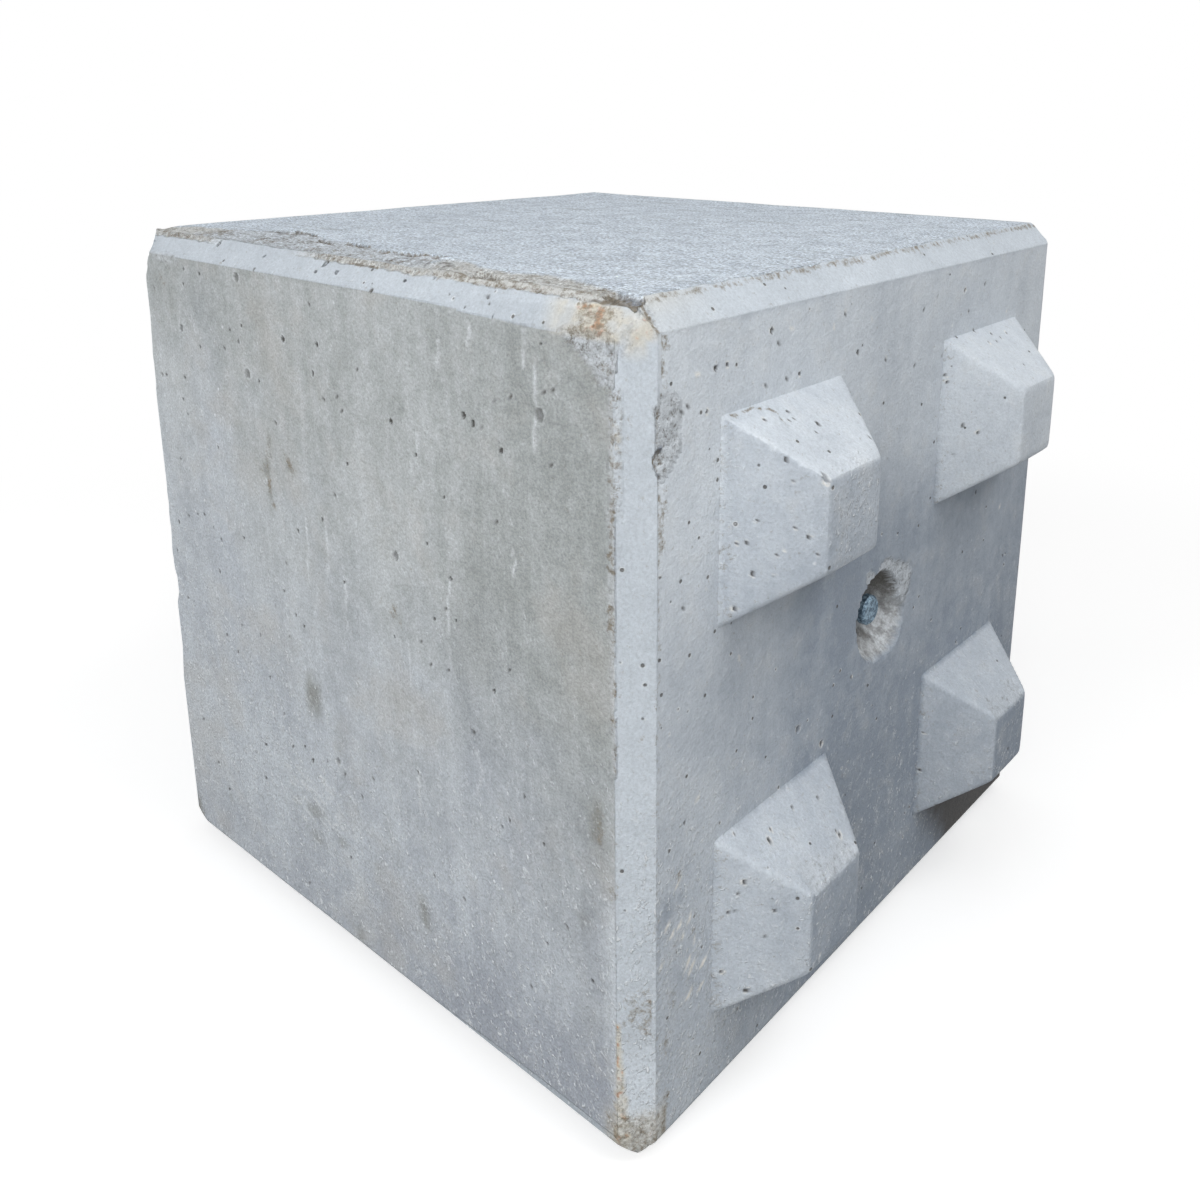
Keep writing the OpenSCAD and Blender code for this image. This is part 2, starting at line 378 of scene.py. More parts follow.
def fine_zones():
    """Boxes that want small cells, as rows of middle x, y, z, half sizes x, y, z, and the cell's steps."""
    zones = []

    def zone(low, high, steps):
        low, high = np.array(low, float), np.array(high, float)
        zones.append([*(low + high) / 2 - MIDDLE, *(high - low) / 2, steps])

    def side_zone(x_low, x_high, z_low, z_high, steps):
        zone((x_low, -far, z_low), (x_high, -HALF, z_high), steps)

    def stud_zone(y_low, y_high, z_low, z_high, steps):
        zone((HALF, y_low, z_low), (far, y_high, z_high), steps)

    def along(path, reach, steps, place_zone):
        for (au, av), (bu, bv) in zip(path[:-1], path[1:]):
            for t in np.linspace(0, 1, 2 + int(math.hypot(bu - au, bv - av) / (2 * reach))):
                u, v = au + t * (bu - au), av + t * (bv - av)
                place_zone(u - reach, u + reach, v - reach, v + reach, steps)

    far = HALF + 1
    # Every chamfer, for its slightly uneven edges
    for axis in range(3):
        for a in (-1, 1):
            for b in (-1, 1):
                low, high = np.full(3, -far), np.full(3, far)
                for other, sign in (((axis + 1) % 3, a), ((axis + 2) % 3, b)):
                    inner, outer = sorted((sign * (HALF - EDGE - 3), sign * far))
                    low[other], high[other] = inner, outer
                zone(low + MIDDLE, high + MIDDLE, CHAMFER_CELLS)
    # The upper corners at the back, where three chamfers meet
    zone((-far, 280, 580), (-280, far, SIDE + 1), 2)
    zone((280, 280, 580), (far, far, SIDE + 1), 2)
    # The three faces in plain view
    side_zone(-far, far, 0, SIDE, FACE_CELLS)
    stud_zone(-far, far, 0, SIDE, FACE_CELLS)
    zone((-far, -far, SIDE), (far, far, far * 2), FACE_CELLS)
    # Rough margin of the casting face, its overhangs and its edges
    zone((-295, -300, 599), (290, -212, far * 2), 4)
    zone((-300, -292, 599), (300, -276, far * 2), 2)
    zone((276, -290, 599), (294, 300, far * 2), 2)
    for path in OVERHANGS:
        along(path, 5, 2, lambda x0, x1, y0, y1, steps: zone((x0, y0, 599), (x1, y1, far * 2), steps))
    zone((116, -300, 599), (182, -258, far * 2), 2)
    # Upper chamfer over the plain side face
    side_zone(-300, 300, 579, 600, 4)
    # Near upright chamfer and its two edges
    side_zone(268, 282, 0, 600, 2)
    side_zone(281, 291, 8, 125, 2)
    stud_zone(-282, -272, 0, 600, 2)
    side_zone(281, 300, 0, 600, 4)
    side_zone(281, 292, 466, 560, 2)
    stud_zone(-300, -281, 0, 600, 4)
    # Broken corner at the top
    side_zone(232, 300, 534, 600, 2)
    zone((232, -300, 599), (300, -262, far * 2), 2)
    stud_zone(-300, -270, 560, 600, 2)
    # Spall beside the chamfer on the studded face
    stud_zone(-290, -255, 488, 552, 2)
    # Lifting recess
    stud_zone(-46, 52, RECESS_Z - 44, RECESS_Z + 48, 2)
    # Worn far upright edge and its lower corner
    side_zone(-300, -252, 0, 600, 4)
    zone((-HALF - 1, -300, 0), (-HALF, -276, 600), 4)
    # Ridges of the studs and edges of the sockets
    for y, z in STUD_PLACES:
        for x, steps in ((HALF, 2), (-HALF, 4)):
            x_low, x_high = (HALF, far) if x > 0 else (-far, -HALF)
            for size in (STUD_BASE / 2, STUD_TIP / 2):
                band = 1.5 if size > STUD_TIP else 4
                reach = size + band
                for s in (-1, 1):
                    across, up = y + s * size, z + s * size
                    zone((x_low, across - band, z - reach), (x_high, across + band, z + reach), steps)
                    zone((x_low, y - reach, up - band), (x_high, y + reach, up + band), steps)
            for out in np.linspace(STUD_TIP / 2, STUD_BASE / 2, 12):
                for cy, cz in ((y + a * out, z + b * out) for a in (-1, 1) for b in (-1, 1)):
                    zone((x_low, cy - 4, cz - 4), (x_high, cy + 4, cz + 4), steps)
    for y, low, high in TIP_CHIPS:
        stud_zone(y - low - 6, y + high + 6, HALF - PITCH / 2 + 24, HALF - PITCH / 2 + 44, 2)
    # Air holes, the peeling crack, drips and dark blotches
    for u, v, r in SIDE_MARKS:
        reach, steps = (r + 0.7, 1) if r > 1.1 else (r + 1.0, 2)
        side_zone(u - reach, u + reach, v - reach, v + reach, steps)
    for u, v, r, wide, high in on_flanks(STUD_MARKS):
        reach, steps = (r + 0.8, 1) if r > 1.1 or wide * high < 1 else (r + 1.0, 2)
        stud_zone(u - reach, u + reach, v - reach, v + reach, steps)
    for x, rise, r in RIM_HOLES:
        z = SIDE - EDGE / 2 + rise
        side_zone(x - r - 1, x + r + 1, z - r - 1, z + r + 1, 1)
    along(PEELING_CRACK, 2.5, 1, stud_zone)
    for path in DRIPS:
        along(path, 3, 2, side_zone)
    stud_zone(-282, -226, 104, 222, 4)
    for path in STROKES:
        along(path, 3, 2, stud_zone)
    for path in SCUFFS:
        along(path, 1.4, 1, side_zone)
    for path, reach, _ in SIDE_STAINS:
        along(path, reach + 2, 4, side_zone)
    for x, z, half_x, half_z, _ in SIDE_BLOTCHES:
        reach_x, reach_z = 1.6 * half_x, 1.6 * half_z
        if half_x < 20:
            side_zone(x - reach_x, x + reach_x, z - reach_z, z + reach_z, 8)
    return np.array(zones)


def divided_cells(zones):
    """Cells as rows of face, u, v and size, all in steps: a cell that meets a zone of smaller cells is cut in
    four, and each zone grows a little for the larger sizes, so that sizes change gradually."""
    roots = np.arange(0, STEPS, ROOT)
    face, u, v = (a.ravel() for a in np.meshgrid(np.arange(6), roots, roots, indexing="ij"))
    cells, size, done = np.stack([face, u, v], 1), ROOT, []
    while size > 1:
        wanting = zones[zones[:, 6] < size]
        low = lattice_mm(lattice_points(*cells.T))
        high = lattice_mm(lattice_points(cells[:, 0], cells[:, 1] + size, cells[:, 2] + size))
        middle, half = (low + high) / 2, np.abs(high - low) / 2
        grown = wanting[:, 3:6] + 0.9 * (size / 2 - wanting[:, 6:7])
        cut = np.zeros(len(cells), bool)
        for row, reach in zip(wanting, grown):
            cut |= np.all(np.abs(middle - row[:3]) < half + reach, axis=1)
        done.append(np.column_stack([cells[~cut], np.full((~cut).sum(), size)]))
        size //= 2
        corners = [(0, 0), (size, 0), (0, size), (size, size)]
        cells = np.concatenate([cells[cut] + (0, du, dv) for du, dv in corners])
    done.append(np.column_stack([cells, np.ones(len(cells), int)]))
    return np.concatenate(done)


def point_key(points):
    """One whole number for each lattice point."""
    return (points[:, 0] * (STEPS + 1) + points[:, 1]) * (STEPS + 1) + points[:, 2]


def skin_lattice():
    """The lattice points in use, and each cell's outline with every point that a smaller neighbour puts on
    it. A square is split from its first corner to its third. That line has to run towards the middle of the
    face, so that the ridges between two chamfers stay straight."""
    cells = divided_cells(fine_zones())
    faces, u, v, sizes = cells.T
    corners = ((0, 0), (1, 0), (1, 1), (0, 1))
    corner_keys = [point_key(lattice_points(faces, u + du * sizes, v + dv * sizes)) for du, dv in corners]
    used = np.unique(np.concatenate(corner_keys))
    crossed = (u < HALF_STEPS) != (v < HALF_STEPS)
    # The rounded lower corner of the plain side face runs across that line, so its squares are split along it
    crossed |= (faces == SIDES.index((1, -1))) & (np.maximum(u, v) < 3 * ROOT)
    loops, counts = [], []
    for size, face, lean in itertools.product(np.unique(sizes), range(6), (False, True)):
        part = cells[(sizes == size) & (faces == face) & (crossed == lean)]
        stops = np.arange(0, size, max(1, size // 8))
        zero, full = np.zeros(len(stops), int), np.full(len(stops), size)
        du = np.concatenate([stops, full, size - stops, zero])
        dv = np.concatenate([zero, stops, full, size - stops])
        if SIDES[face][1] < 0:
            du, dv = du[::-1], dv[::-1]
        if lean == (SIDES[face][1] > 0):
            du, dv = np.roll(du, -len(stops)), np.roll(dv, -len(stops))
        u = (part[:, 1:2] + du).ravel()
        v = (part[:, 2:3] + dv).ravel()
        key = point_key(lattice_points(np.full(len(u), face), u, v))
        at = np.searchsorted(used, key)
        real = used[np.minimum(at, len(used) - 1)] == key
        loops.append(at[real])
        counts.append(real.reshape(len(part), len(du)).sum(1))
    span = STEPS + 1
    points = np.stack([used // span**2, used // span % span, used % span], 1)
    return points, np.concatenate(loops), np.concatenate(counts)


# ---------------------------------------------------------------------------
# The skin's shape
# ---------------------------------------------------------------------------
def chamfered(points):
    """Cube points drawn towards the middle until no two coordinates add up past a chamfer's plane."""
    far = np.sort(np.abs(points), axis=1)
    limit = 2 * HALF - EDGE
    return points * np.minimum(1, limit / np.maximum(far[:, 1] + far[:, 2], 1))[:, None]


def stud_rise(y, z):
    """Height of the studs over their face: the distance in from the base's sides times the slope, capped by
    the tip, with both corners rounded."""
    rise = np.zeros(len(y))
    for stud_y, stud_z in STUD_PLACES:
        out = soft_max(np.abs(y - stud_y), np.abs(z - stud_z), 2.4)
        inside = np.maximum(np.abs(y - stud_y), np.abs(z - stud_z)) < STUD_BASE / 2
        slope = soft_min(STUD_SLOPE * (STUD_BASE / 2 + 0.4 - out), STUD_HEIGHT, 2.6)
        rise = np.where(inside, np.maximum(rise, slope), rise)
    return rise


def socket_sink(y, z):
    """Depth of the sockets: the same slope as the studs, from a wider mouth."""
    sink = np.zeros(len(y))
    for stud_y, stud_z in STUD_PLACES:
        out = soft_max(np.abs(y - stud_y), np.abs(z - stud_z), 2.0)
        sink = np.maximum(sink, soft_min(STUD_SLOPE * (SOCKET_MOUTH / 2 + 0.4 - out), SOCKET_DEPTH, 2.0))
    return sink


def recess_sink(y, z):
    """Depth of the lifting recess: the cap of a ball whose centre lies in front of the face."""
    ball = ((RECESS_MOUTH / 2) ** 2 + RECESS_DEPTH**2) / (2 * RECESS_DEPTH)
    away = np.hypot(y, z - RECESS_Z)
    return np.maximum(0, np.sqrt(np.maximum(ball**2 - away**2, 0)) - (ball - RECESS_DEPTH))


def top_wear(x, y):
    """Depth of the casting face below its plane and its marks: a trowelled middle and a rough margin along
    the plain side's edge, whose inner border wanders, with overhangs of the trowelled layer, a pocket and a
    gash."""
    at = np.column_stack([x, y, np.zeros(len(x))])
    fine = rough_noise(at, 9, 3, 51)
    lumps = rough_noise(at, 16, 4, 41)
    waves = 0.5 + 0.35 * rough_noise(at, 70, 3, 21) + 0.12 * fine
    border_x = [-300, -285, -245, -200, -160, -140, -112, -91, -61, -29, 9, 40, 80, 128, 144, 160, 172, 189,
                215, 246, 262, 280, 300]
    border_y = [-272, -262, -246, -240, -212, -217, -224, -236, -233, -236, -244, -238, -240, -257, -258,
                -259, -251, -249, -255, -266, -272, -279, -286]
    border = np.interp(x, border_x, border_y) + 3 * rough_noise(at, 26, 3, 31)
    inside = smooth_step(-1.5, 3.0, border - y)
    slope = np.clip((border - y) / 45, 0, 1)
    margin = np.maximum(0, inside * (1.0 + 2.0 * slope + 1.8 * lumps + 0.8 * fine))
    margin = margin * np.interp(y, [-281, -274], [0.2, 1])
    crack = nearest_line(x, y, OVERHANGS) + 1.2 * fine
    groove = 4.2 * smooth_step(2.8, 0.8, crack)
    lower = 1.6 + line_distance(x, y, UNDERCUT) + 1.4 * fine
    undercut = 1.3 * smooth_step(3.0, 0.8, lower)
    pocket = line_distance(x, y, [(133, -269), (161, -283)]) + 3 * lumps
    pocket = (5.0 + 1.2 * lumps) * smooth_step(11, 6, pocket) * np.interp(y, [-284, -276], [0.25, 1])
    gash = line_distance(x, y, [(264, -278), (283, -281), (298, -289)]) + 1.4 * lumps + 0.8 * fine
    gash = (3.6 + 1.6 * lumps + 1.8 * fine) * smooth_step(8.5, 5.0, gash)
    stones = np.zeros(len(x))
    for stone_x, stone_y, radius in TOP_STONES:
        away = np.hypot(x - stone_x, 0.4 * (y - stone_y))
        stones = np.maximum(stones, smooth_step(radius, 0.6 * radius, away))
    edge_y = [-300, -253, -216, -184, -138, -87, -35, 33, 91, 162, 218, 300]
    edge_x = [278, 278, 279, 284, 283, 283, 284, 281, 284, 286, 289, 288]
    edge_line = np.interp(y, edge_y, edge_x) + 1.8 * rough_noise(at, 18, 3, 71)
    lip = 1.3 * smooth_step(3.2, 0.6, np.abs(x - edge_line - 1)) * (0.5 + 0.8 * rough_noise(at, 7, 2, 72))
    lip = np.maximum(lip, 0)
    depth = waves + margin + groove + undercut + pocket + gash + lip - 1.0 * stones
    broken = np.clip(np.maximum(0.9 * inside, smooth_step(0.8, 2.5, np.maximum(pocket, gash))), 0, 1)
    patchy = smooth_step(-0.3, 0.5, rough_noise(at, 22, 3, 73))
    soil = smooth_step(3.2, 1.6, crack) + smooth_step(3.0, 1.0, lower) * (0.2 + 0.4 * patchy)
    soil = soil + 0.5 * smooth_step(0.2, 1.0, lip) * patchy + 0.5 * smooth_step(0.8, 3.0, gash + 0.8 * pocket)
    soil = soil + 0.4 * inside * patchy + 0.25 * inside * smooth_step(-170, -235, x) * patchy
    soil = soil + 0.3 * inside * smooth_step(60, 130, x) * (0.75 + 0.25 * patchy)
    stones = np.maximum(stones, 0.75 * smooth_step(1.5, 3.5, gash))
    # The deepest parts of the cracks under the overhangs, and pits in the margin, are nearly black
    shadow = 0.85 * smooth_step(3.3, 1.9, crack + 1.5 * (1 - patchy))
    shadow = np.maximum(shadow, 0.6 * inside * smooth_step(0.45, 0.75, -fine) * smooth_step(0.2, 0.6, patchy))
    beige = 0.34 * inside * np.maximum(smooth_step(40, 120, x), smooth_step(-200, -250, x))
    marks = {"broken": broken, "soil": np.clip(soil, 0, 1), "stone": stones, "hole": shadow, "warm": beige}
    return np.maximum(depth, LEAST_DEPTH), marks


def side_wear(x, z):
    """Depth of the plain side face below its plane and its marks: the spall under the near top corner, the
    ragged strip beside the near upright chamfer, air holes, raised lime drips and dark blotches."""
    at = np.column_stack([x, np.zeros(len(x)), z])
    ragged = rough_noise(at, 7, 3, 81)
    skin = 0.3 + 0.2 * rough_noise(at, 140, 2, 82) + 0.05 * ragged
    left_z = [500, 536, 549, 551, 561, 569, 578, 584, 600]
    left = np.interp(z, left_z, [296, 292, 284, 271, 261, 251, 239, 232, 226])
    spall = smooth_step(-1.0, 1.4, x - left - 3.0 * rough_noise(at, 12, 3, 83)) * smooth_step(520, 540, z)
    spall = spall * smooth_step(588, 581, z + 2 * ragged)
    spall_depth = spall * (1.9 + 1.8 * rough_noise(at, 10, 4, 84)) * np.interp(x, [276, 284], [1, 0.3])
    stone = smooth_step(5.0, 3.6, np.hypot(x - 274, z - 559) + 0.8 * ragged)
    scuffed = smooth_step(1.0, 0.6, np.hypot((x + 232) / 24, (z - 581) / 7) + 0.25 * ragged)
    hollow = line_distance(x, z, [(262, 566), (271, 568), (281, 566)]) + 1.5 * ragged
    hollow = spall * smooth_step(4, 2, hollow)
    spall_depth = spall_depth + 1.2 * hollow - 1.0 * stone
    inner_z = [0, 285, 305, 395, 403, 474, 480, 543, 550]
    inner = np.interp(z, inner_z, [302, 300, 279, 277, 275, 277, 279, 279, 292])
    band = smooth_step(-0.8, 1.2, x - inner - 1.6 * rough_noise(at, 12, 3, 86))
    band_depth = band * (0.35 + 0.55 * rough_noise(at, 5, 3, 87))
    holes, rims = hole_depth(x, z, SIDE_MARKS, ragged)
    drip = smooth_step(1.9, 0.4, nearest_line(x, z, DRIPS) + 0.5 * ragged)
    drip = np.maximum(drip, smooth_step(1.7, 0.7, nearest_line(x, z, SCUFFS) + 0.3 * ragged))
    drip = np.maximum(drip, rims * (0.4 + 0.6 * smooth_step(120, -60, x)))
    depth = skin + np.maximum(spall_depth, 0) + np.maximum(band_depth, 0) + holes - 0.14 * drip
    depth = depth + 0.5 * scuffed * (1 + ragged)
    patchy = smooth_step(-0.4, 0.4, rough_noise(at, 9, 3, 88))
    stain = np.zeros(len(x))
    for path, reach, strength in SIDE_STAINS:
        near = smooth_step(reach, 0.3 * reach, line_distance(x, z, path) + 1.2 * ragged)
        stain = np.maximum(stain, strength * near * (0.5 + 0.5 * patchy))
    grime = blotches(x + 2 * ragged, z + 3 * ragged, SIDE_BLOTCHES)
    grime = 0.5 * grime + 0.5 * smooth_step(0.25, 0.6, grime + 0.12 * ragged)
    cool = (z + 0.35 * x) / 1000 + 0.05 * rough_noise(at, 60, 3, 116) + 0.04 * rough_noise(at, 25, 3, 117)
    cool = smooth_step(0.50, 0.14, cool) + blotches(x, z, [(-178, 400, 28, 130, 0.6)])
    flecks = 0.95 * smooth_step(430, 20, z) + 0.45 * smooth_step(0, -200, x) * smooth_step(580, 440, z)
    trails = [(-158, 400, 10, 160, 0.4), (-208, 470, 7, 80, 0.35), (-113, 460, 5, 70, 0.3)]
    flecks = np.maximum(flecks, 0.25 * flecks + blotches(x + 3 * ragged, z, trails) + 0.1)
    clumps = [(-62, 128, 60, 34, 0.6), (20, 90, 60, 30, 0.3), (-100, 240, 50, 70, 0.2)]
    flecks = flecks + blotches(x, z, clumps)
    pocks = 0.26 + 0.3 * smooth_step(60, -200, x) - 0.1 * smooth_step(120, 200, x)
    pale = 0.55 - 0.26 * np.clip(x / 250, -1.1, 1.1) + 0.18 * smooth_step(430, 60, z)
    pale = pale + 0.14 * rough_noise(at, 120, 3, 89)
    pale = pale - 0.25 * smooth_step(460, 560, z) * smooth_step(0, -150, x)
    pale = pale - (0.38 + 0.3 * smooth_step(50, 200, x)) * smooth_step(140, 30, z)
    pale = pale - blotches(x, z, [(-60, 470, 60, 50, 0.07), (-200, 200, 60, 90, 0.05)])
    pale = pale + 0.32 * blotches(x, z, [(40, 390, 90, 80, 1.0)])
    beside = smooth_step(266, 281, x) * smooth_step(270, 190, z) * smooth_step(25, 60, z)
    broken = np.maximum(spall, np.maximum(0.45 * band, 0.55 * scuffed))
    soil = np.maximum(0.6 * band * patchy, 0.35 * np.maximum(stone, 0.6 * hollow) * spall)
    marks = {"broken": broken, "hole": hole_tint(x, z, SIDE_MARKS, holes), "drip": drip,
             "soil": np.maximum(stain, soil), "grime": grime, "pale": pale + 0.5 * beside,
             "cool": np.maximum(cool, beside), "flecks": flecks, "pocks": pocks}
    return np.maximum(depth, LEAST_DEPTH), marks


def stud_wear(y, z):
    """Depth of the studded face below its own shape and its marks: the spall beside the near chamfer, the
    mould's joint line, the peeling crack, the broken rim of the recess and air holes."""
    at = np.column_stack([np.zeros(len(y)), y, z])
    ragged = rough_noise(at, 7, 3, 91)
    lumps = rough_noise(at, 9, 4, 96)
    skin = 0.3 + 0.2 * rough_noise(at, 140, 2, 92) + 0.05 * ragged
    inner_z = [492, 498, 508, 518, 530, 540, 544, 548]
    inner = np.interp(z, inner_z, [-278, -271, -262, -260, -260, -260.5, -266, -274])
    outer = np.interp(z, [492, 500, 517, 537, 543, 548], [-280, -282.5, -283, -284, -280, -276])
    edge = np.minimum(inner - y, y - outer) + 1.4 * rough_noise(at, 9, 3, 93)
    spall = smooth_step(-0.6, 1.0, edge) * smooth_step(492, 495, z) * smooth_step(548, 545, z)
    deep = smooth_step(6, 3, np.hypot(y + 278.5, 0.8 * (z - 507)) + 1.2 * lumps)
    spall_depth = spall * (1.3 + 2.6 * deep + 1.1 * rough_noise(at, 7, 4, 94))
    stones = np.zeros(len(y))
    for stone_y, stone_z, radius in STUD_STONES:
        away = np.hypot(y - stone_y, z - stone_z) + 0.8 * ragged
        stones = np.maximum(stones, smooth_step(radius, 0.5 * radius, away))
    joint = line_distance(y, z, JOINT_LINE)
    joint_depth = 0.9 * smooth_step(1.4, 0.5, joint + 0.3 * ragged)
    crack = smooth_step(1.3, 0.3, line_distance(y, z, PEELING_CRACK) + 0.4 * ragged)
    rise = z - RECESS_Z
    away = np.hypot(y, rise)
    angle = np.degrees(np.arctan2(rise, y))
    # How far the recess and the shallow break round it reach, by the angle about its middle
    mouth_angle = [-180, -157, -116, -75, -49, -28, -10, 5, 30, 56, 90, 120, 142, 175, 180]
    mouth_reach = [39.5, 39, 39, 41.5, 44, 40, 38, 30, 29.5, 33, 38, 40, 42, 40, 39.5]
    mouth = np.interp(angle, mouth_angle, mouth_reach)
    break_angle = [-40, -12, 3, 14, 27, 41, 56, 70, 80, 96, 108, 118, 124, 130]
    broken_reach = np.interp(angle, break_angle, [0, 36, 39, 47, 53, 49, 45, 44, 48, 45, 39, 52, 52, 38])
    broken_rim = smooth_step(0.8, -0.8, away - broken_reach - 1.2 * ragged)
    rim_depth = broken_rim * (1.5 + 1.0 * lumps)
    holes, rims = hole_depth(y, z, on_flanks(STUD_MARKS), ragged)
    stroke = smooth_step(2.2, 0.8, nearest_line(y, z, STROKES) + 0.5 * ragged)
    stroke = np.maximum(stroke, 0.7 * rims)
    depth = skin + np.maximum(spall_depth - 2.0 * stones * spall, 0) + joint_depth + 1.3 * crack + holes
    depth = depth - 0.14 * stroke
    scale = (RECESS_MOUTH / 2) / (mouth + 1.0 * rough_noise(at, 12, 3, 95))
    ball = recess_sink(y * scale, RECESS_Z + rise * scale)
    heaps = blotches(y, rise, [(0, -34, 12, 7, 6.0), (4, -25, 6, 5, 3.5), (28, -18, 7, 6, 2.0)])
    ball = np.maximum(0, ball + (1.6 * lumps + 0.7 * ragged - heaps) * smooth_step(0, 5, ball))
    depth = np.maximum(depth, np.maximum(rim_depth, ball))
    patchy = smooth_step(-0.4, 0.4, rough_noise(at, 9, 3, 98))
    tan = smooth_step(4.5, 2.0, np.abs(y + 275.5)) * smooth_step(430, 470, z) * smooth_step(596, 586, z)
    tan = np.maximum(tan, smooth_step(5, 2, np.hypot((y + 272.7) / 0.6, (z - 93.2) / 1.2)))
    for stud_y, stud_z in STUD_PLACES:
        strip = smooth_step(4.5, 1.5, np.abs(y - (stud_y - STUD_BASE / 2) - 1.5))
        strip = 0.4 * strip * smooth_step(STUD_BASE / 2 + 4, STUD_BASE / 2 - 8, np.abs(z - stud_z))
        tan = np.maximum(tan, strip)
    tan = tan * (1 - spall)
    soil = np.maximum(0.85 * crack, 0.5 * smooth_step(1.6, 0.6, joint))
    soil = np.maximum(0.7 * tan * (0.3 + 0.7 * patchy), soil)
    soil = np.maximum(soil, 0.55 * smooth_step(0.5, 0.9, deep) * spall)
    # Painted shadow of the lower right stud, with dirt where the stud keeps the rain off: it starts on a
    # slanting line below the stud
    under = y - 83 - 0.82 * (79 - z) + 4 * ragged
    under = (0.3 * smooth_step(-3, 5, under) + 0.8 * smooth_step(0, 34, under)) * smooth_step(84, 76, z)
    spots = [(-272, 92, 3, 9, 0.8), (-266, 124, 4, 8, 0.55), (-271, 44, 4, 14, 0.6), (-259, 216, 3, 5, 0.6),
             (-242, 163, 3, 5, 0.6), (-263, 164, 3, 5, 0.5), (-246, 127, 3, 4, 0.6), (-232, 155, 4, 5, 0.45)]
    soil = np.maximum(soil, blotches(y, z, spots))
    flecks = 0.75 * smooth_step(360, 60, z) + 0.45 * smooth_step(-130, -260, y) * smooth_step(330, 240, z)
    splashed = blotches(y, z, [(-148, 452, 30, 34, 1.3), (-128, 140, 12, 24, 0.9), (-228, 470, 20, 70, 0.5)])
    height = stud_rise(y, z)
    flecks = flecks * (1 - 0.45 * (height > 1)) + 0.25 * (height > STUD_HEIGHT - 4)
    flecks = np.maximum(flecks, splashed)
    # The studded face's tone: paler along the near edge and at the top, darker from the middle on and towards
    # the bottom. This falloff is partly painted light and shade, and the patch at y -85, z 335 below the
    # upper left stud is painted shadow of that stud.
    low_y = [-290, -230, -170, -110, -40, 80, 200, 290]
    low = np.interp(y, low_y, [0.64, 0.62, 0.44, 0.14, 0.11, 0.2, 0.24, 0.24])
    low = low - 0.18 * smooth_step(360, 120, z)
    low = low - blotches(y, z, [(-85, 335, 60, 60, 0.16), (-270, 196, 8, 9, 0.4), (-258, 199, 5, 5, 0.3)])
    high = np.interp(y, [-290, 0, 60, 200, 290], [0.91, 0.78, 0.78, 0.84, 0.84])
    high = high + 0.14 * smooth_step(-120, -250, y) * smooth_step(490, 560, z)
    pale = low + (high - low) * smooth_step(360, 490, z) + 0.12 * rough_noise(at, 110, 3, 99)
    broken = np.maximum(0.9 * spall, 0.8 * broken_rim)
    # Grime and painted shade in the recess's bowl: darker towards its top, painted shade of its upper wall
    # with dirt, and two patches low down, painted shadow of the anchor's head
    dirt = blotches(y, rise, [(4, -25, 6, 6, 0.9), (-6, -31, 6, 5, 0.5)])
    dirt = smooth_step(-6, 26, rise + 0.2 * y + 3 * lumps) + dirt
    dirt = np.clip(dirt, 0, 1) * smooth_step(1.5, 6, ball)
    marks = {"broken": broken, "hole": np.maximum(hole_tint(y, z, STUD_MARKS, holes), under), "soil": soil,
             "bowl": smooth_step(1.0, 5, ball), "stone": stones * spall, "grime": dirt, "pale": pale,
             "flecks": flecks, "pocks": 0.1 + 0.15 * smooth_step(-150, -270, y), "drip": stroke}
    return np.maximum(depth, LEAST_DEPTH), marks


def stud_tone(y, z, tone):
    """The tone of the studs' flanks and tips: per stud, one value on top, one on the left flank, one on the
    tip, one on the other flanks, picked by which side of the stud the point is on."""
    for (stud_y, stud_z), (upper, left, tip, rest) in zip(STUD_PLACES, STUD_TONES):
        across, up = y - stud_y, z - stud_z
        out = np.maximum(np.abs(across), np.abs(up))
        picked = np.where(up >= np.abs(across), upper, np.where(-across >= np.abs(up), left, rest))
        picked = np.where(out < STUD_TIP / 2, tip, picked)
        tone = np.where(out < STUD_BASE / 2, picked + 0.3 * (tone - 0.5), tone)
    return tone


NOWHERE = -900.0         # a depth so far in front of a plane that nothing is cut there


def cut_back(points, normal, offset, depth):
    """Moves each point back along the normal until it lies depth below the plane at offset, and returns how
    far it moved."""
    normal = np.array(normal) / np.linalg.norm(normal)
    over = np.maximum(0, points @ normal - (offset - depth))
    points -= over[:, None] * normal
    return over


def far_edge_wear(points):
    """Draws the far upright edge and its lower corner in: the side face gives way past a line that leans with
    height, and past a quarter circle at the foot."""
    x, z = points[:, 0], points[:, 2]
    start_z = [0, 150, 210, 275, 335, 450, 505, 557, 574, 584, 600]
    start = np.interp(z, start_z, [-284, -283, -279, -276, -275, -272, -270, -267, -262, -254, -242])
    start = start + 0.8 * rough_noise(points, 14, 3, 103) + 4 * np.exp(-(((z - 266) / 12) ** 2))
    inner = np.interp(z, [0, 150, 600], [-282, -282, -268])
    slope = (HALF + inner) / np.maximum(HALF + start, 1)
    back = slope * np.maximum(0, start - x)
    foot = np.hypot(np.minimum(x + 262, 0), np.minimum(z - 42, 0)) - 25
    back = np.maximum(back, 1.3 * np.maximum(0, foot))
    points[:, 1] = np.maximum(points[:, 1], -HALF + back)


def add_marks(total, marks, share=1):
    """Lays marks over those of the whole skin, each times share, where they are stronger than these."""
    for name, values in marks.items():
        total[name] = np.maximum(total[name], values * share)


def set_face_marks(total, marks, on_face, share):
    """Lays the marks of a flat face: its tones take the place of what is there, the others lie over it."""
    for name, values in marks.items():
        if name in FACE_MARKS:
            total[name] = np.where(on_face, values, total[name])
        else:
            add_marks(total, {name: values}, share)


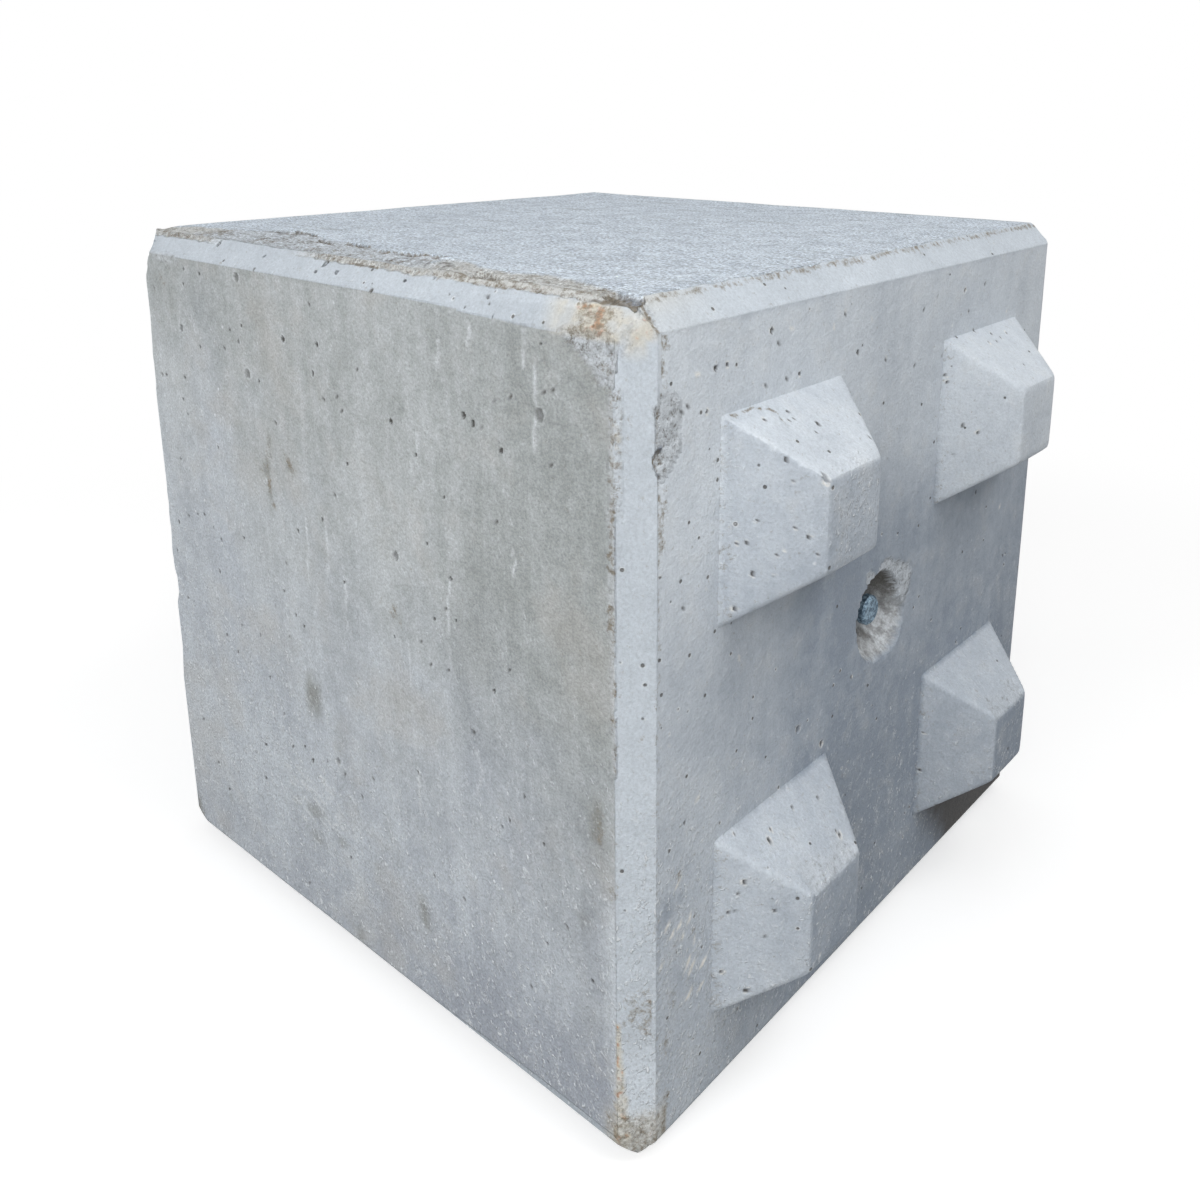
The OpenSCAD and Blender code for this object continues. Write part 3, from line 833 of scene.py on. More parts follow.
def wear_chamfers(points, total):
    """Cuts the chamfers in plain view back, slightly wavy, and the two upper corners of the studded face. The
    one over the plain side has air holes and is worn where the corner broke and along its top. Returns the
    small bumps, which the dirt follows as well."""
    x, y, z = points.T
    corner = smooth_step(26, 10, np.linalg.norm((points - (282, -294, 588)) * (0.8, 1, 1), axis=1))
    bumps = rough_noise(points, 8, 3, 105)
    # The margin's roughness reaches down over the upper 4 mm of the chamfer
    along = np.maximum(smooth_step(-70, 0, x), 0.8 * smooth_step(-150, -200, x))
    ragged_top = smooth_step(594.6, 596.2, z + 1.3 * bumps) * along * smooth_step(-278, -283, y)
    wear = 0.35 + 0.15 * rough_noise(points, 30, 3, 104) + 0.1 * bumps + 0.9 * corner * (0.6 + 1.4 * bumps)
    wear = wear + ragged_top * (0.7 + 0.9 * rough_noise(points, 5, 3, 119))
    rim_depth, _ = hole_depth(x, z - (SIDE - EDGE / 2), RIM_HOLES, rough_noise(points, 7, 3, 106))
    upper = cut_back(points, (0, -1, 1), UPPER_CHAMFER, np.maximum(wear + rim_depth, LEAST_DEPTH))
    cut_back(points, (1, -1, 0), UPRIGHT_CHAMFER, np.maximum(wear, LEAST_DEPTH))
    cut_back(points, (1, 0, 1), UPPER_CHAMFER, np.maximum(wear, LEAST_DEPTH))
    # The lower edge of the upper chamfer sinks towards the near corner
    start = SIDE - EDGE - EDGE_SINK * smooth_step(SINK_START, SINK_END, x)
    back = np.maximum(0, z - start) * EDGE / (SIDE - start)
    points[:, 1] = np.maximum(y, -HALF + back * (start < SIDE - EDGE - 0.1))
    for across, room, depth, seed in ((-1, 8, 1.0, 107), (1, 3, 0.5, 115)):
        offset = (2 * SIDE - 2 * EDGE + room) / math.sqrt(3)
        cut_back(points, (1, across, 1), offset, depth + 0.5 * rough_noise(points, 9, 3, seed))

    # Painted shade in the air holes of the chamfer over the plain side
    add_marks(total, {"hole": 0.9 * smooth_step(0.3, 1.1, rim_depth)}, smooth_step(0.0, 0.3, upper))
    border = smooth_step(1.3, 0.4, np.abs(z + 1.3 * bumps - 595.3)) * smooth_step(-281, -284, y)
    border = border * smooth_step(-70, 0, x)
    broken_line = 0.3 + 0.7 * smooth_step(-0.2, 0.3, rough_noise(points, 30, 2, 121))
    border = border * np.maximum(broken_line, smooth_step(244, 254, x))
    soil = 0.38 + 0.35 * rough_noise(points, 14, 3, 120) + 0.25 * smooth_step(-150, -200, x)
    marks = {"broken": 0.85 * ragged_top, "soil": np.maximum(ragged_top * soil, 0.75 * border),
             "warm": 0.34 * ragged_top, "hole": 0.6 * border * smooth_step(248, 256, x)}
    add_marks(total, marks, x < 294)
    return bumps


def chip_tips(points, total, on_face):
    """Chips the upper edges of the lower studs' tips."""
    top_z = HALF - PITCH / 2 + STUD_TIP / 2
    offset = (HALF + STUD_HEIGHT + top_z) / math.sqrt(2)
    lower_tips = on_face & (points[:, 0] > HALF + 36) & (points[:, 2] < HALF)
    for middle, low, high in TIP_CHIPS:
        lumps = rough_noise(points, 8, 3, 108)
        reach = np.minimum(points[:, 1] - (middle - low), middle + high - points[:, 1]) + 2 * lumps
        bevel = (3.6 + 1.2 * lumps) * smooth_step(-1.5, 3, reach)
        here = lower_tips & (np.abs(points[:, 1] - middle) < 44)
        moved = cut_back(points, (1, 0, 1), offset, np.where(here, bevel, NOWHERE))
        add_marks(total, {"broken": 0.4 * smooth_step(0.2, 1.2, moved)}, here)


def stain_edges(points, total, bumps, on_side):
    """Stains and dirt that run over more than one face: along the edges, at the corners and at the foot."""
    x, y, z = points.T
    patchy = smooth_step(-0.5, 0.3, rough_noise(points, 12, 3, 109))
    fine_patches = smooth_step(-0.2, 0.5, rough_noise(points, 5, 2, 110))
    ragged = rough_noise(points, 4, 2, 118)
    # Cream and rust at the broken corner and down the near upright chamfer
    rim = smooth_step(214, 242, x - 0.5 * (590 - z)) * smooth_step(574, 579, z) * smooth_step(597, 592, z)
    rim = rim * smooth_step(-276, -284, y)
    below = smooth_step(284, 289, x) * smooth_step(564, 572, z) * smooth_step(-284, -288, y)
    rusty_spots = [(257, 591, 8, 3, 1.0), (275, 591, 5, 3, 0.9), (287, 586, 5, 3, 0.9), (291, 574, 3, 5, 0.8),
                   (266, 584, 6, 3, 0.7)]
    rusty_spots = 1.5 * blotches(x, z, rusty_spots) * smooth_step(-276, -284, y)
    rust = line_distance(x, z, [(282.1, 117), (282.4, 84), (282.8, 60), (283, 15)]) + 0.6 * ragged
    rust = smooth_step(1.0, 0.3, rust / np.interp(z, [12, 30, 50, 80, 110], [9.0, 7.5, 5.0, 3.2, 1.5]))
    rust = rust * (y < -292) * (0.5 + 0.5 * fine_patches)
    edge_tint = 0.7 * smooth_step(3, 1, np.abs(x - 283)) * smooth_step(500, 512, z)
    edge_tint = edge_tint * smooth_step(540, 530, z) * on_side
    foot = smooth_step(58, 28, z + 10 * rough_noise(points, 16, 3, 111))
    foot = foot * smooth_step(262, 280, x - 0.6 * (y + HALF))
    warm = 0.68 * np.maximum(rim, below) * (0.4 + 0.6 * patchy) + 0.6 * rusty_spots * fine_patches
    warm = np.maximum(warm, np.maximum(rust, edge_tint * fine_patches))
    warm = np.maximum(warm, 0.4 * foot * (y < -270))
    add_marks(total, {"warm": warm}, z < SIDE - 1)
    dirty_rim = rim * smooth_step(238, 252, x) * smooth_step(290, 276, x)
    add_marks(total, {"soil": 0.64 * dirty_rim * (0.45 + 0.55 * patchy)})
    # Dirt at the two lower corners of the plain side and in pits and a streak over the near one
    pits = smooth_step(24, 8, np.abs(z - 127) + 6 * ragged) * smooth_step(281, 287, x - 0.2 * (z - 127))
    pits = pits * (y < -284) * (0.6 + 0.4 * smooth_step(-0.15, 0.3, ragged))
    spots = blotches(x, z, [(279, 221, 4, 9, 0.8), (281, 256, 3, 6, 0.6)]) * smooth_step(-292, -297, y)
    streak = smooth_step(3.5, 1, line_distance(x, z, [(296, 128), (296.5, 108)]) + ragged) * (y < -284)
    pits = np.maximum(0.52 * pits, 0.5 * streak)
    dirt = np.maximum(np.maximum(0.6 * foot * (0.75 + 0.25 * patchy), pits), spots * patchy)
    dirt = dirt * (z > 2) * (y < -270)
    dirt = np.maximum(dirt, (0.55 + 0.45 * smooth_step(70, 30, z)) * rust * smooth_step(110, 60, z))
    left_foot = smooth_step(34, 12, np.hypot(x + 292, z - 22)) * on_side
    add_marks(total, {"soil": np.maximum(dirt, 0.6 * left_foot * patchy)})
    # The junction of the two upper chamfers and the near one: a dark groove runs down from the gash
    band = smooth_step(278, 280, x) * smooth_step(286.3, 284.3, x - bumps) * (y < -290)
    band = band * smooth_step(470, 478, z) * smooth_step(556, 546, z) * (0.5 + 0.5 * fine_patches)
    add_marks(total, {"broken": 0.8 * band, "soil": 0.62 * band * (0.4 + 0.6 * patchy)})
    seam = np.full(len(points), np.inf)
    for a, b in zip(CORNER_SEAM[:-1], CORNER_SEAM[1:]):
        run = np.array(b) - np.array(a)
        t = np.clip((points - a) @ run / (run @ run), 0, 1)
        seam = np.minimum(seam, np.linalg.norm(points - a - t[:, None] * run, axis=1))
    add_marks(total, {"soil": 0.9 * smooth_step(2.6, 1.0, seam + 0.6 * rough_noise(points, 6, 2, 112))})
    # The ragged beige lip along the top of the far right chamfer
    lip = smooth_step(593.5, 597, z - 2.5 * rough_noise(points, 14, 3, 113)) * smooth_step(281, 284, x)
    add_marks(total, {"soil": 0.62 * lip * (0.5 + 0.5 * patchy)})


def tone_chamfers(points, total):
    """Sets the tones of the three chamfers in plain view, with cream along the one over the studded face."""
    x, y, z = points.T
    limit = SIDE - EDGE - 2
    upper_side = (z - HALF - y > limit) & (x > -HALF)
    upper_studs = z - HALF + x > limit
    upright = (x - y > limit) & (z < SIDE - EDGE)
    cream = smooth_step(-200, -280, y)
    add_marks(total, {"warm": (0.1 + 0.22 * smooth_step(586, 598, z)) * cream * upper_studs})
    upright_tone = 0.5 + 0.06 * smooth_step(450, 200, z) + 0.12 * smooth_step(480, 540, z)
    upright_tone = upright_tone + 0.36 * smooth_step(115, 75, z)
    for where, tone in (
        (upper_side, 0.36 + 0.1 * smooth_step(0, 220, x)),
        (upper_studs, 0.68 + 0.02 * cream),
        (upright, upright_tone),
    ):
        total["pale"] = np.where(where, tone + 0.1 * rough_noise(points, 60, 3, 114), total["pale"])
        total["pocks"] = np.where(where, 0.12, total["pocks"])


def skin_shape(cube):
    """Places of the skin's points in millimetres, and its marks, each 0 to 1."""
    points = chamfered(cube)
    on_studs = cube[:, 0] >= HALF - TOUCH
    on_sockets = cube[:, 0] <= -HALF + TOUCH
    on_side = cube[:, 1] <= -HALF + TOUCH
    points += MIDDLE
    x, y, z = points.T
    total = {name: np.zeros(len(points)) for name in MARKS}
    total["pale"][:] = 0.5

    # The hidden faces are plain, with the slight waves of the mould
    waves = 0.15 + 0.12 * rough_noise(points, 60, 3, 101)
    cut_back(points, (0, 1, 0), HALF, waves)
    cut_back(points, (-1, 0, 0), HALF, waves)
    depth, marks = top_wear(x, y)
    moved = cut_back(points, (0, 0, 1), SIDE, depth)
    add_marks(total, marks, smooth_step(0.0, 0.4, moved))
    bumps = wear_chamfers(points, total)

    depth, marks = side_wear(x, z)
    moved = cut_back(points, (0, -1, 0), HALF, depth)
    set_face_marks(total, marks, on_side, smooth_step(0.0, 0.15, moved) * on_side)
    far_edge_wear(points)

    depth, marks = stud_wear(y, z)
    marks["pale"] = stud_tone(y, z, marks["pale"])
    rise = np.where(on_studs, stud_rise(y, z), 0)
    before = x.copy()
    points[:, 0] = np.minimum(x, HALF - depth) + rise
    set_face_marks(total, marks, on_studs, smooth_step(0.0, 0.15, before - x + rise) * on_studs)
    chip_tips(points, total, on_studs)
    points[:, 0] = np.where(on_sockets, x + socket_sink(y, z), x)

    stain_edges(points, total, bumps, on_side)
    tone_chamfers(points, total)
    return points, {name: np.clip(values, 0, 1) for name, values in total.items()}


def concrete_skin():
    """The whole cast block as one closed skin on the divided lattice."""
    lattice, loops, counts = skin_lattice()
    points, marks = skin_shape(lattice_mm(lattice))
    mesh = bpy.data.meshes.new("cast_concrete")
    mesh.vertices.add(len(points))
    mesh.vertices.foreach_set("co", (points * MM).ravel())
    mesh.loops.add(len(loops))
    mesh.loops.foreach_set("vertex_index", loops)
    mesh.polygons.add(len(counts))
    mesh.polygons.foreach_set("loop_start", np.concatenate([[0], np.cumsum(counts)[:-1]]))
    mesh.update(calc_edges=True)
    for name, values in marks.items():
        mesh.attributes.new(name, "FLOAT", "POINT").data.foreach_set("value", values.astype(np.float32))
    mesh.shade_smooth()
    mesh.set_sharp_from_angle(angle=math.radians(28))
    block = bpy.data.objects.new("cast_concrete", mesh)
    bpy.context.scene.collection.objects.link(block)
    return block


# ---------------------------------------------------------------------------
# Materials
# ---------------------------------------------------------------------------
MATH, RAMP, MIX = "ShaderNodeMath", "ShaderNodeMapRange", "ShaderNodeMix"
NOISE, CELLS, MARK = "ShaderNodeTexNoise", "ShaderNodeTexVoronoi", "ShaderNodeAttribute"
TURN, SPLIT = "ShaderNodeMapping", "ShaderNodeSeparateXYZ"
# Settings: a mix of two colours, and a ramp with soft ends
COLOURS = {"data_type": "RGBA"}
SOFT = {"interpolation_type": "SMOOTHSTEP"}


def srgb(text):
    """Linear red, green, blue and alpha of an sRGB hex colour."""
    parts = [int(text[i : i + 2], 16) / 255 for i in (1, 3, 5)]
    return [c / 12.92 if c <= 0.04045 else ((c + 0.055) / 1.055) ** 2.4 for c in parts] + [1.0]


def add_node(tree, kind, inputs=None, **settings):
    """One node of a kind with its settings. An input given as a node or a socket is linked, a node by its
    first output in use; a hex colour is turned to linear; anything else is the input's value."""
    made = tree.nodes.new(kind)
    for name, value in settings.items():
        setattr(made, name, value)
    free = [socket for socket in made.inputs if socket.enabled]
    for name, value in (inputs or {}).items():
        socket = free[name] if isinstance(name, int) else made.inputs[name]
        if isinstance(value, bpy.types.Node):
            value = next(output for output in value.outputs if output.enabled)
        if isinstance(value, bpy.types.NodeSocket):
            tree.links.new(value, socket)
        else:
            socket.default_value = srgb(value) if isinstance(value, str) else value
    return made


def new_material(name):
    """An empty node material, its tree and its output node."""
    material = bpy.data.materials.new(name)
    material.use_nodes = True
    tree = material.node_tree
    tree.nodes.clear()
    return material, tree, add_node(tree, "ShaderNodeOutputMaterial")


def concrete_faces(tree, place):
    """Where the chamfers, the casting face, the studded face and the plain side face are, each 0 to 1. A
    point is on a chamfer when two of its distances from the middle add up far enough."""
    centred = add_node(tree, TURN, {"Vector": place, "Location": (0, 0, -HALF * MM)})
    spread = add_node(tree, "ShaderNodeVectorMath", {0: centred}, operation="ABSOLUTE")
    away_x, away_y, away_z = add_node(tree, SPLIT, {0: spread}).outputs
    x, y, z = add_node(tree, SPLIT, {0: place}).outputs
    # The lower edge of the chamfer over the plain side sinks towards the near corner
    inputs = {0: x, "From Min": SINK_START * MM, "From Max": SINK_END * MM, "To Max": EDGE_SINK * MM}
    sunk = add_node(tree, RAMP, inputs, **SOFT)
    sunk = add_node(tree, MATH, {0: sunk, 1: away_z}, operation="ADD")
    pair = add_node(tree, MATH, {0: away_x, 1: away_y}, operation="ADD")
    for first, second in ((away_y, sunk), (away_x, away_z)):
        total = add_node(tree, MATH, {0: first, 1: second}, operation="ADD")
        pair = add_node(tree, MATH, {0: pair, 1: total}, operation="MAXIMUM")
    limit = (SIDE - EDGE) * MM
    on_chamfer = add_node(tree, RAMP, {0: pair, "From Min": limit - 1.4 * MM, "From Max": limit - 0.6 * MM})
    faces = [on_chamfer]
    for axis, low, high in ((z, SIDE - 14, SIDE - 11), (x, HALF - 4, HALF - 2), (y, 4 - HALF, 2 - HALF)):
        face = add_node(tree, RAMP, {0: axis, "From Min": low * MM, "From Max": high * MM})
        faces.append(add_node(tree, MATH, {0: face, 1: on_chamfer}, operation="SUBTRACT", use_clamp=True))
    return faces


def concrete_patterns(tree, place):
    """The concrete's patterns by name, each a noise whose largest lumps have a size in millimetres."""
    # The mould's oil runs down in streaks 15 mm wide and eight times as long, and in bands 55 mm wide
    running = add_node(tree, TURN, {"Vector": place, "Scale": (1.0, 1.0, 0.12)})
    # The float leaves long strokes over the casting face
    inputs = {"Vector": place, "Rotation": (0, 0, math.radians(-38)), "Scale": (0.12, 1, 1)}
    floated = add_node(tree, TURN, inputs)
    # The cement's grain is under 0.5 mm and drawn at 2 mm, and the float's stipple is about 1.5 mm and drawn
    # at 3 mm, so that they show
    patterns = {}
    for name, space, size, detail, roughness in (
        ("clouds", place, 85, 4.0, 0.6), ("mottle", place, 22, 4.0, 0.65), ("lumps", place, 7, 3.0, 0.6),
        ("sand", place, 5, 4.0, 0.8), ("grain", place, 2, 3.0, 0.75), ("stipple", place, 3, 4.0, 0.85),
        ("ripple", place, 6, 2.0, 0.6), ("streaks", running, 15, 5.0, 0.65),
        ("bands", running, 55, 5.0, 0.65), ("strokes", floated, 9, 3.0, 0.6),
    ):
        inputs = {"Vector": space, "Scale": 1000 / size, "Detail": detail, "Roughness": roughness}
        patterns[name] = add_node(tree, NOISE, inputs)
    return patterns


def pin_holes(tree, place, share):
    """Holes too small to model, in a share of the cells of 9 mm. Returns where they and their rims are, for
    painted shade in the holes and a painted highlight on the rims.
    """
    cells = add_node(tree, CELLS, {"Vector": place, "Scale": 1000 / 9, "Randomness": 1.0})
    chance = add_node(tree, "ShaderNodeSeparateColor", {0: cells.outputs["Color"]})
    picked = add_node(tree, MATH, {0: share, 1: chance.outputs[1]}, operation="GREATER_THAN")
    rings = []
    for inner, outer in ((0.11, 0.17), (0.20, 0.27)):
        ring = add_node(tree, RAMP, {0: cells.outputs["Distance"], "From Min": outer, "From Max": inner})
        rings.append(add_node(tree, MATH, {0: ring, 1: picked}, operation="MULTIPLY"))
    return rings


def lime_specks(tree, place, patterns, share, on_side):
    """Pale raised specks of lime, splashed upwards from the ground: short dashes that lean, with wavy
    outlines, in cells 3.4 mm wide and 8.2 mm long, and scuffs along the same lean."""
    dash = (3.4 * MM, 3.4 * MM, 8.2 * MM)
    inputs = {0: patterns["ripple"].outputs["Color"], 1: (9 * MM, 9 * MM, 9 * MM), 2: place}
    wavy = add_node(tree, "ShaderNodeVectorMath", inputs, operation="MULTIPLY_ADD")
    side_space, stud_space = (
        add_node(tree, TURN, {"Vector": wavy, "Rotation": turn, "Scale": dash}, vector_type="TEXTURE")
        for turn in ((0, math.radians(-28), 0), (math.radians(-22), 0, 0))
    )
    clump = add_node(tree, MATH, {0: patterns["mottle"], 1: -0.5}, operation="ADD")
    wanted = add_node(tree, MATH, {0: clump, 1: 1.2, 2: share}, operation="MULTIPLY_ADD")
    space = add_node(tree, MIX, {0: on_side, 1: stud_space, 2: side_space}, data_type="VECTOR")
    dashes = add_node(tree, CELLS, {"Vector": space, "Scale": 1.0, "Randomness": 1.0})
    chance = add_node(tree, "ShaderNodeSeparateColor", {0: dashes.outputs["Color"]})
    speck = add_node(tree, RAMP, {0: dashes.outputs["Distance"], "From Min": 0.36, "From Max": 0.14}, **SOFT)
    chosen = add_node(tree, MATH, {0: wanted, 1: chance.outputs[0]}, operation="SUBTRACT")
    chosen = add_node(tree, RAMP, {0: chosen, "From Min": 0.0, "From Max": 0.5})
    speck = add_node(tree, MATH, {0: speck, 1: chosen}, operation="MULTIPLY")
    scuff = add_node(tree, NOISE, {"Vector": space, "Scale": 0.8, "Detail": 3.0, "Roughness": 0.7})
    scuff = add_node(tree, RAMP, {0: scuff, "From Min": 0.54, "From Max": 0.70, "To Max": 0.8}, **SOFT)
    scuff = add_node(tree, MATH, {0: scuff, 1: wanted}, operation="MULTIPLY", use_clamp=True)
    return add_node(tree, MATH, {0: speck, 1: scuff}, operation="MAXIMUM")


def cast_concrete():
    """Vibrated precast concrete: a dull grey cement skin where it lay on the steel mould, paler on the
    chamfers and studs, with lime streaks and specks; a grainy trowelled casting face; sand and stones where
    it broke."""
    material, tree, output = new_material("vibrated_precast_concrete")
    place = add_node(tree, "ShaderNodeTexCoord").outputs["Object"]
    marks = {name: add_node(tree, MARK, attribute_name=name).outputs["Fac"] for name in MARKS}
    on_chamfer, on_top, on_studs, on_side = concrete_faces(tree, place)
    patterns = concrete_patterns(tree, place)
    mottle, lumps, sand, stipple = (patterns[name] for name in ("mottle", "lumps", "sand", "stipple"))

    # Tones: the mark "pale" and the patterns about their middle, weighted for each face
    tones = []
    for weights in (
        {"streaks": 0.9, "bands": 1.0, "mottle": 1.1, "lumps": 0.8, "clouds": 0.9},
        {"bands": 0.5, "mottle": 0.5, "lumps": 0.25, "clouds": 0.5},
        {"streaks": 0.3, "mottle": 0.45, "lumps": 0.35, "clouds": 0.4},
    ):
        tone = add_node(tree, MATH, {0: marks["pale"], 1: -0.5 * sum(weights.values())}, operation="ADD")
        for name, weight in weights.items():
            inputs = {0: patterns[name], 1: weight, 2: tone}
            tone = add_node(tree, MATH, inputs, operation="MULTIPLY_ADD")
        tones.append(tone)
    side_tone, studs_tone, edge_tone = tones

    # The plain side face: greenish grey, or bluish grey where it is marked cool
    green = add_node(tree, MIX, {0: side_tone, 1: "#989d9d", 2: "#bfc4c7"}, **COLOURS)
    blue = add_node(tree, MIX, {0: side_tone, 1: "#9ba1ab", 2: "#c1c8cf"}, **COLOURS)
    side = add_node(tree, MIX, {0: marks["cool"], 1: green, 2: blue}, **COLOURS)
    inputs = {0: patterns["clouds"], "From Min": 0.5, "From Max": 0.68, "To Max": 0.3}
    warm_cloud = add_node(tree, RAMP, inputs, **SOFT)
    side = add_node(tree, MIX, {0: warm_cloud, 1: side, 2: "#aeaaa4"}, **COLOURS)
    grime = add_node(tree, MATH, {0: marks["grime"], 1: 0.8}, operation="MULTIPLY")
    side = add_node(tree, MIX, {0: grime, 1: side, 2: "#7c7d77"}, **COLOURS)

    # The studded face and the studs: cool and paler
    studs = add_node(tree, MIX, {0: studs_tone, 1: "#8e98a5", 2: "#d6dde4"}, **COLOURS)
    warm_cloud = add_node(tree, RAMP, {0: mottle, "From Min": 0.5, "From Max": 0.75, "To Max": 0.15}, **SOFT)
    studs = add_node(tree, MIX, {0: warm_cloud, 1: studs, 2: "#b3b1ab"}, **COLOURS)
    face = add_node(tree, MIX, {0: on_side, 1: studs, 2: side}, **COLOURS)
    face = add_node(tree, MIX, {0: on_studs, 1: face, 2: studs}, **COLOURS)
    drips = add_node(tree, RAMP, {0: mottle, "From Min": 0.3, "From Max": 0.55, "To Max": 0.85})
    drips = add_node(tree, MATH, {0: on_studs, 1: 0.2, 2: drips}, operation="MULTIPLY_ADD", use_clamp=True)
    drips = add_node(tree, MATH, {0: marks["drip"], 1: drips}, operation="MULTIPLY")
    lime = add_node(tree, MIX, {0: on_studs, 1: "#cfd4d8", 2: "#edebe5"}, **COLOURS)
    face = add_node(tree, MIX, {0: drips, 1: face, 2: lime}, **COLOURS)
    edge = add_node(tree, MIX, {0: edge_tone, 1: "#aab2ba", 2: "#d2dae2"}, **COLOURS)
    face = add_node(tree, MIX, {0: on_chamfer, 1: face, 2: edge}, **COLOURS)

    # The trowelled casting face: pale cement with darker grains and long float strokes
    grains = add_node(tree, MATH, {0: mottle, 1: 0.25, 2: stipple}, operation="MULTIPLY_ADD")
    grains = add_node(tree, RAMP, {0: grains, "From Min": 0.52, "From Max": 0.68})
    top = add_node(tree, MIX, {0: grains, 1: "#a1acb9", 2: "#e7f1fb"}, **COLOURS)
    inputs = {0: patterns["strokes"], "From Min": 0.55, "From Max": 0.72, "To Max": 0.45}
    stroke = add_node(tree, RAMP, inputs, **SOFT)
    top = add_node(tree, MIX, {0: stroke, 1: top, 2: "#a5aeb4"}, **COLOURS)
    face = add_node(tree, MIX, {0: on_top, 1: face, 2: top}, **COLOURS)

    # Broken concrete: pale cement and sand, with painted shade between the lumps, and stones
    rubble = add_node(tree, RAMP, {0: sand, "From Min": 0.34, "From Max": 0.56}, **SOFT)
    rubble = add_node(tree, MIX, {0: rubble, 1: "#94979a", 2: "#d6dce2"}, **COLOURS)
    broken = add_node(tree, MATH, {0: marks["broken"], 1: 0.85}, operation="MULTIPLY")
    colour = add_node(tree, MIX, {0: broken, 1: face, 2: rubble}, **COLOURS)
    crevice_shade = add_node(tree, RAMP, {0: sand, "From Min": 0.40, "From Max": 0.31, "To Max": 0.7})
    crevice_shade = add_node(tree, MATH, {0: crevice_shade, 1: marks["broken"]}, operation="MULTIPLY")

    # Pin holes in painted shade with broken pale rims in painted highlight, specks of lime, and cream and
    # rust
    pin, pin_rim = pin_holes(tree, place, marks["pocks"])
    pin_rim_highlight = add_node(tree, RAMP, {0: lumps, "From Min": 0.5, "From Max": 0.55, "To Max": 0.7})
    pin_rim_highlight = add_node(tree, MATH, {0: pin_rim_highlight, 1: pin_rim}, operation="MULTIPLY")
    speck = lime_specks(tree, place, patterns, marks["flecks"], on_side)
    speck = add_node(tree, MATH, {0: speck, 1: on_top}, operation="SUBTRACT", use_clamp=True)
    rusty = add_node(tree, MATH, {0: marks["warm"], 1: 0.5, 2: lumps}, operation="MULTIPLY_ADD")
    rusty = add_node(tree, RAMP, {0: rusty, "From Min": 0.82, "From Max": 1.0}, **SOFT)
    stain = add_node(tree, MIX, {0: rusty, 1: "#d3cab5", 2: "#c18f66"}, **COLOURS)
    # Dirt sits in the hollows of the sand first: thin dirt shows as specks
    dirt = add_node(tree, MATH, {0: sand, 1: -0.5}, operation="ADD")
    dirt = add_node(tree, MATH, {0: dirt, 1: -2.8, 2: marks["soil"]}, operation="MULTIPLY_ADD")
    dirt = add_node(tree, RAMP, {0: dirt, "From Min": 0.3, "From Max": 0.9, "To Max": 0.9})
    # The recess's bowl has a crust of cement, with grime and painted shade over it: darker towards its top
    # and behind the anchor's head
    crust = add_node(tree, RAMP, {0: lumps, "From Min": 0.36, "From Max": 0.6}, **SOFT)
    crust = add_node(tree, MIX, {0: crust, 1: "#9b9c9d", 2: "#ccd0d3"}, **COLOURS)
    bowl = add_node(tree, MIX, {0: marks["grime"], 1: crust, 2: "#5b5852"}, **COLOURS)

    # Each lies over the one before with a share of its strength, or in full where the share is None
    # Among these, the crevices, the pin holes and the mark hole are painted shade, the pin holes' rims are
    # painted highlight, and the bowl's grime carries painted shade
    for where, share, tint in (
        (crevice_shade, None, "#6b6862"), (marks["stone"], None, "#6d7480"), (pin_rim_highlight, None, "#d9dde1"),
        (pin, 0.85, "#504e4a"), (speck, 0.9, "#e4e9ee"), (marks["warm"], 0.95, stain),
        (marks["hole"], 0.93, "#403d3a"), (dirt, None, "#82796a"), (marks["bowl"], 0.92, bowl),
    ):
        if share is not None:
            where = add_node(tree, MATH, {0: where, 1: share}, operation="MULTIPLY")
        colour = add_node(tree, MIX, {0: where, 1: colour, 2: tint}, **COLOURS)
    # The grain shows most on the trowelled face and least on the studs
    amount = add_node(tree, MATH, {0: on_studs, 1: -0.6, 2: 1.1}, operation="MULTIPLY_ADD")
    for where, more in ((marks["flecks"], 0.45), (on_top, 1.5), (on_chamfer, -0.5)):
        amount = add_node(tree, MATH, {0: where, 1: more, 2: amount}, operation="MULTIPLY_ADD")
    shade = add_node(tree, MATH, {0: patterns["grain"], 1: -0.5}, operation="ADD")
    shade = add_node(tree, MATH, {0: shade, 1: amount, 2: 1.0}, operation="MULTIPLY_ADD")
    shade = add_node(tree, "ShaderNodeCombineColor", {0: shade, 1: shade, 2: shade})
    colour = add_node(tree, MIX, {0: 1.0, 1: colour, 2: shade}, blend_type="MULTIPLY", **COLOURS)

    # Relief in metres: each pattern times its height, where it shows
    uneven = add_node(tree, MATH, {0: on_chamfer, 1: -0.6, 2: 1.0}, operation="MULTIPLY_ADD")
    height = add_node(tree, MATH, {0: patterns["grain"], 1: 0.5 * MM}, operation="MULTIPLY")
    height = add_node(tree, MATH, {0: patterns["streaks"], 1: 0.5 * MM, 2: height}, operation="MULTIPLY_ADD")
    for pattern, where, rise in (
        (stipple, on_top, 2.0), (sand, marks["broken"], 3.4), (sand, marks["soil"], 1.0),
        (sand, marks["bowl"], 1.2), (lumps, uneven, 0.8), (mottle, uneven, 1.2), (speck, 1.0, 0.8),
        (pin, 1.0, -0.8), (patterns["strokes"], on_top, 1.5),
    ):
        part = add_node(tree, MATH, {0: pattern, 1: where}, operation="MULTIPLY")
        height = add_node(tree, MATH, {0: part, 1: rise * MM, 2: height}, operation="MULTIPLY_ADD")
    bump = add_node(tree, "ShaderNodeBump", {"Height": height, "Strength": 1.0, "Distance": 1.0})
    inputs = {"Base Color": colour, "Roughness": 0.88, "IOR": 1.5, "Normal": bump}
    shader = add_node(tree, "ShaderNodeBsdfPrincipled", inputs)
    tree.links.new(shader.outputs[0], output.inputs[0])
    return material


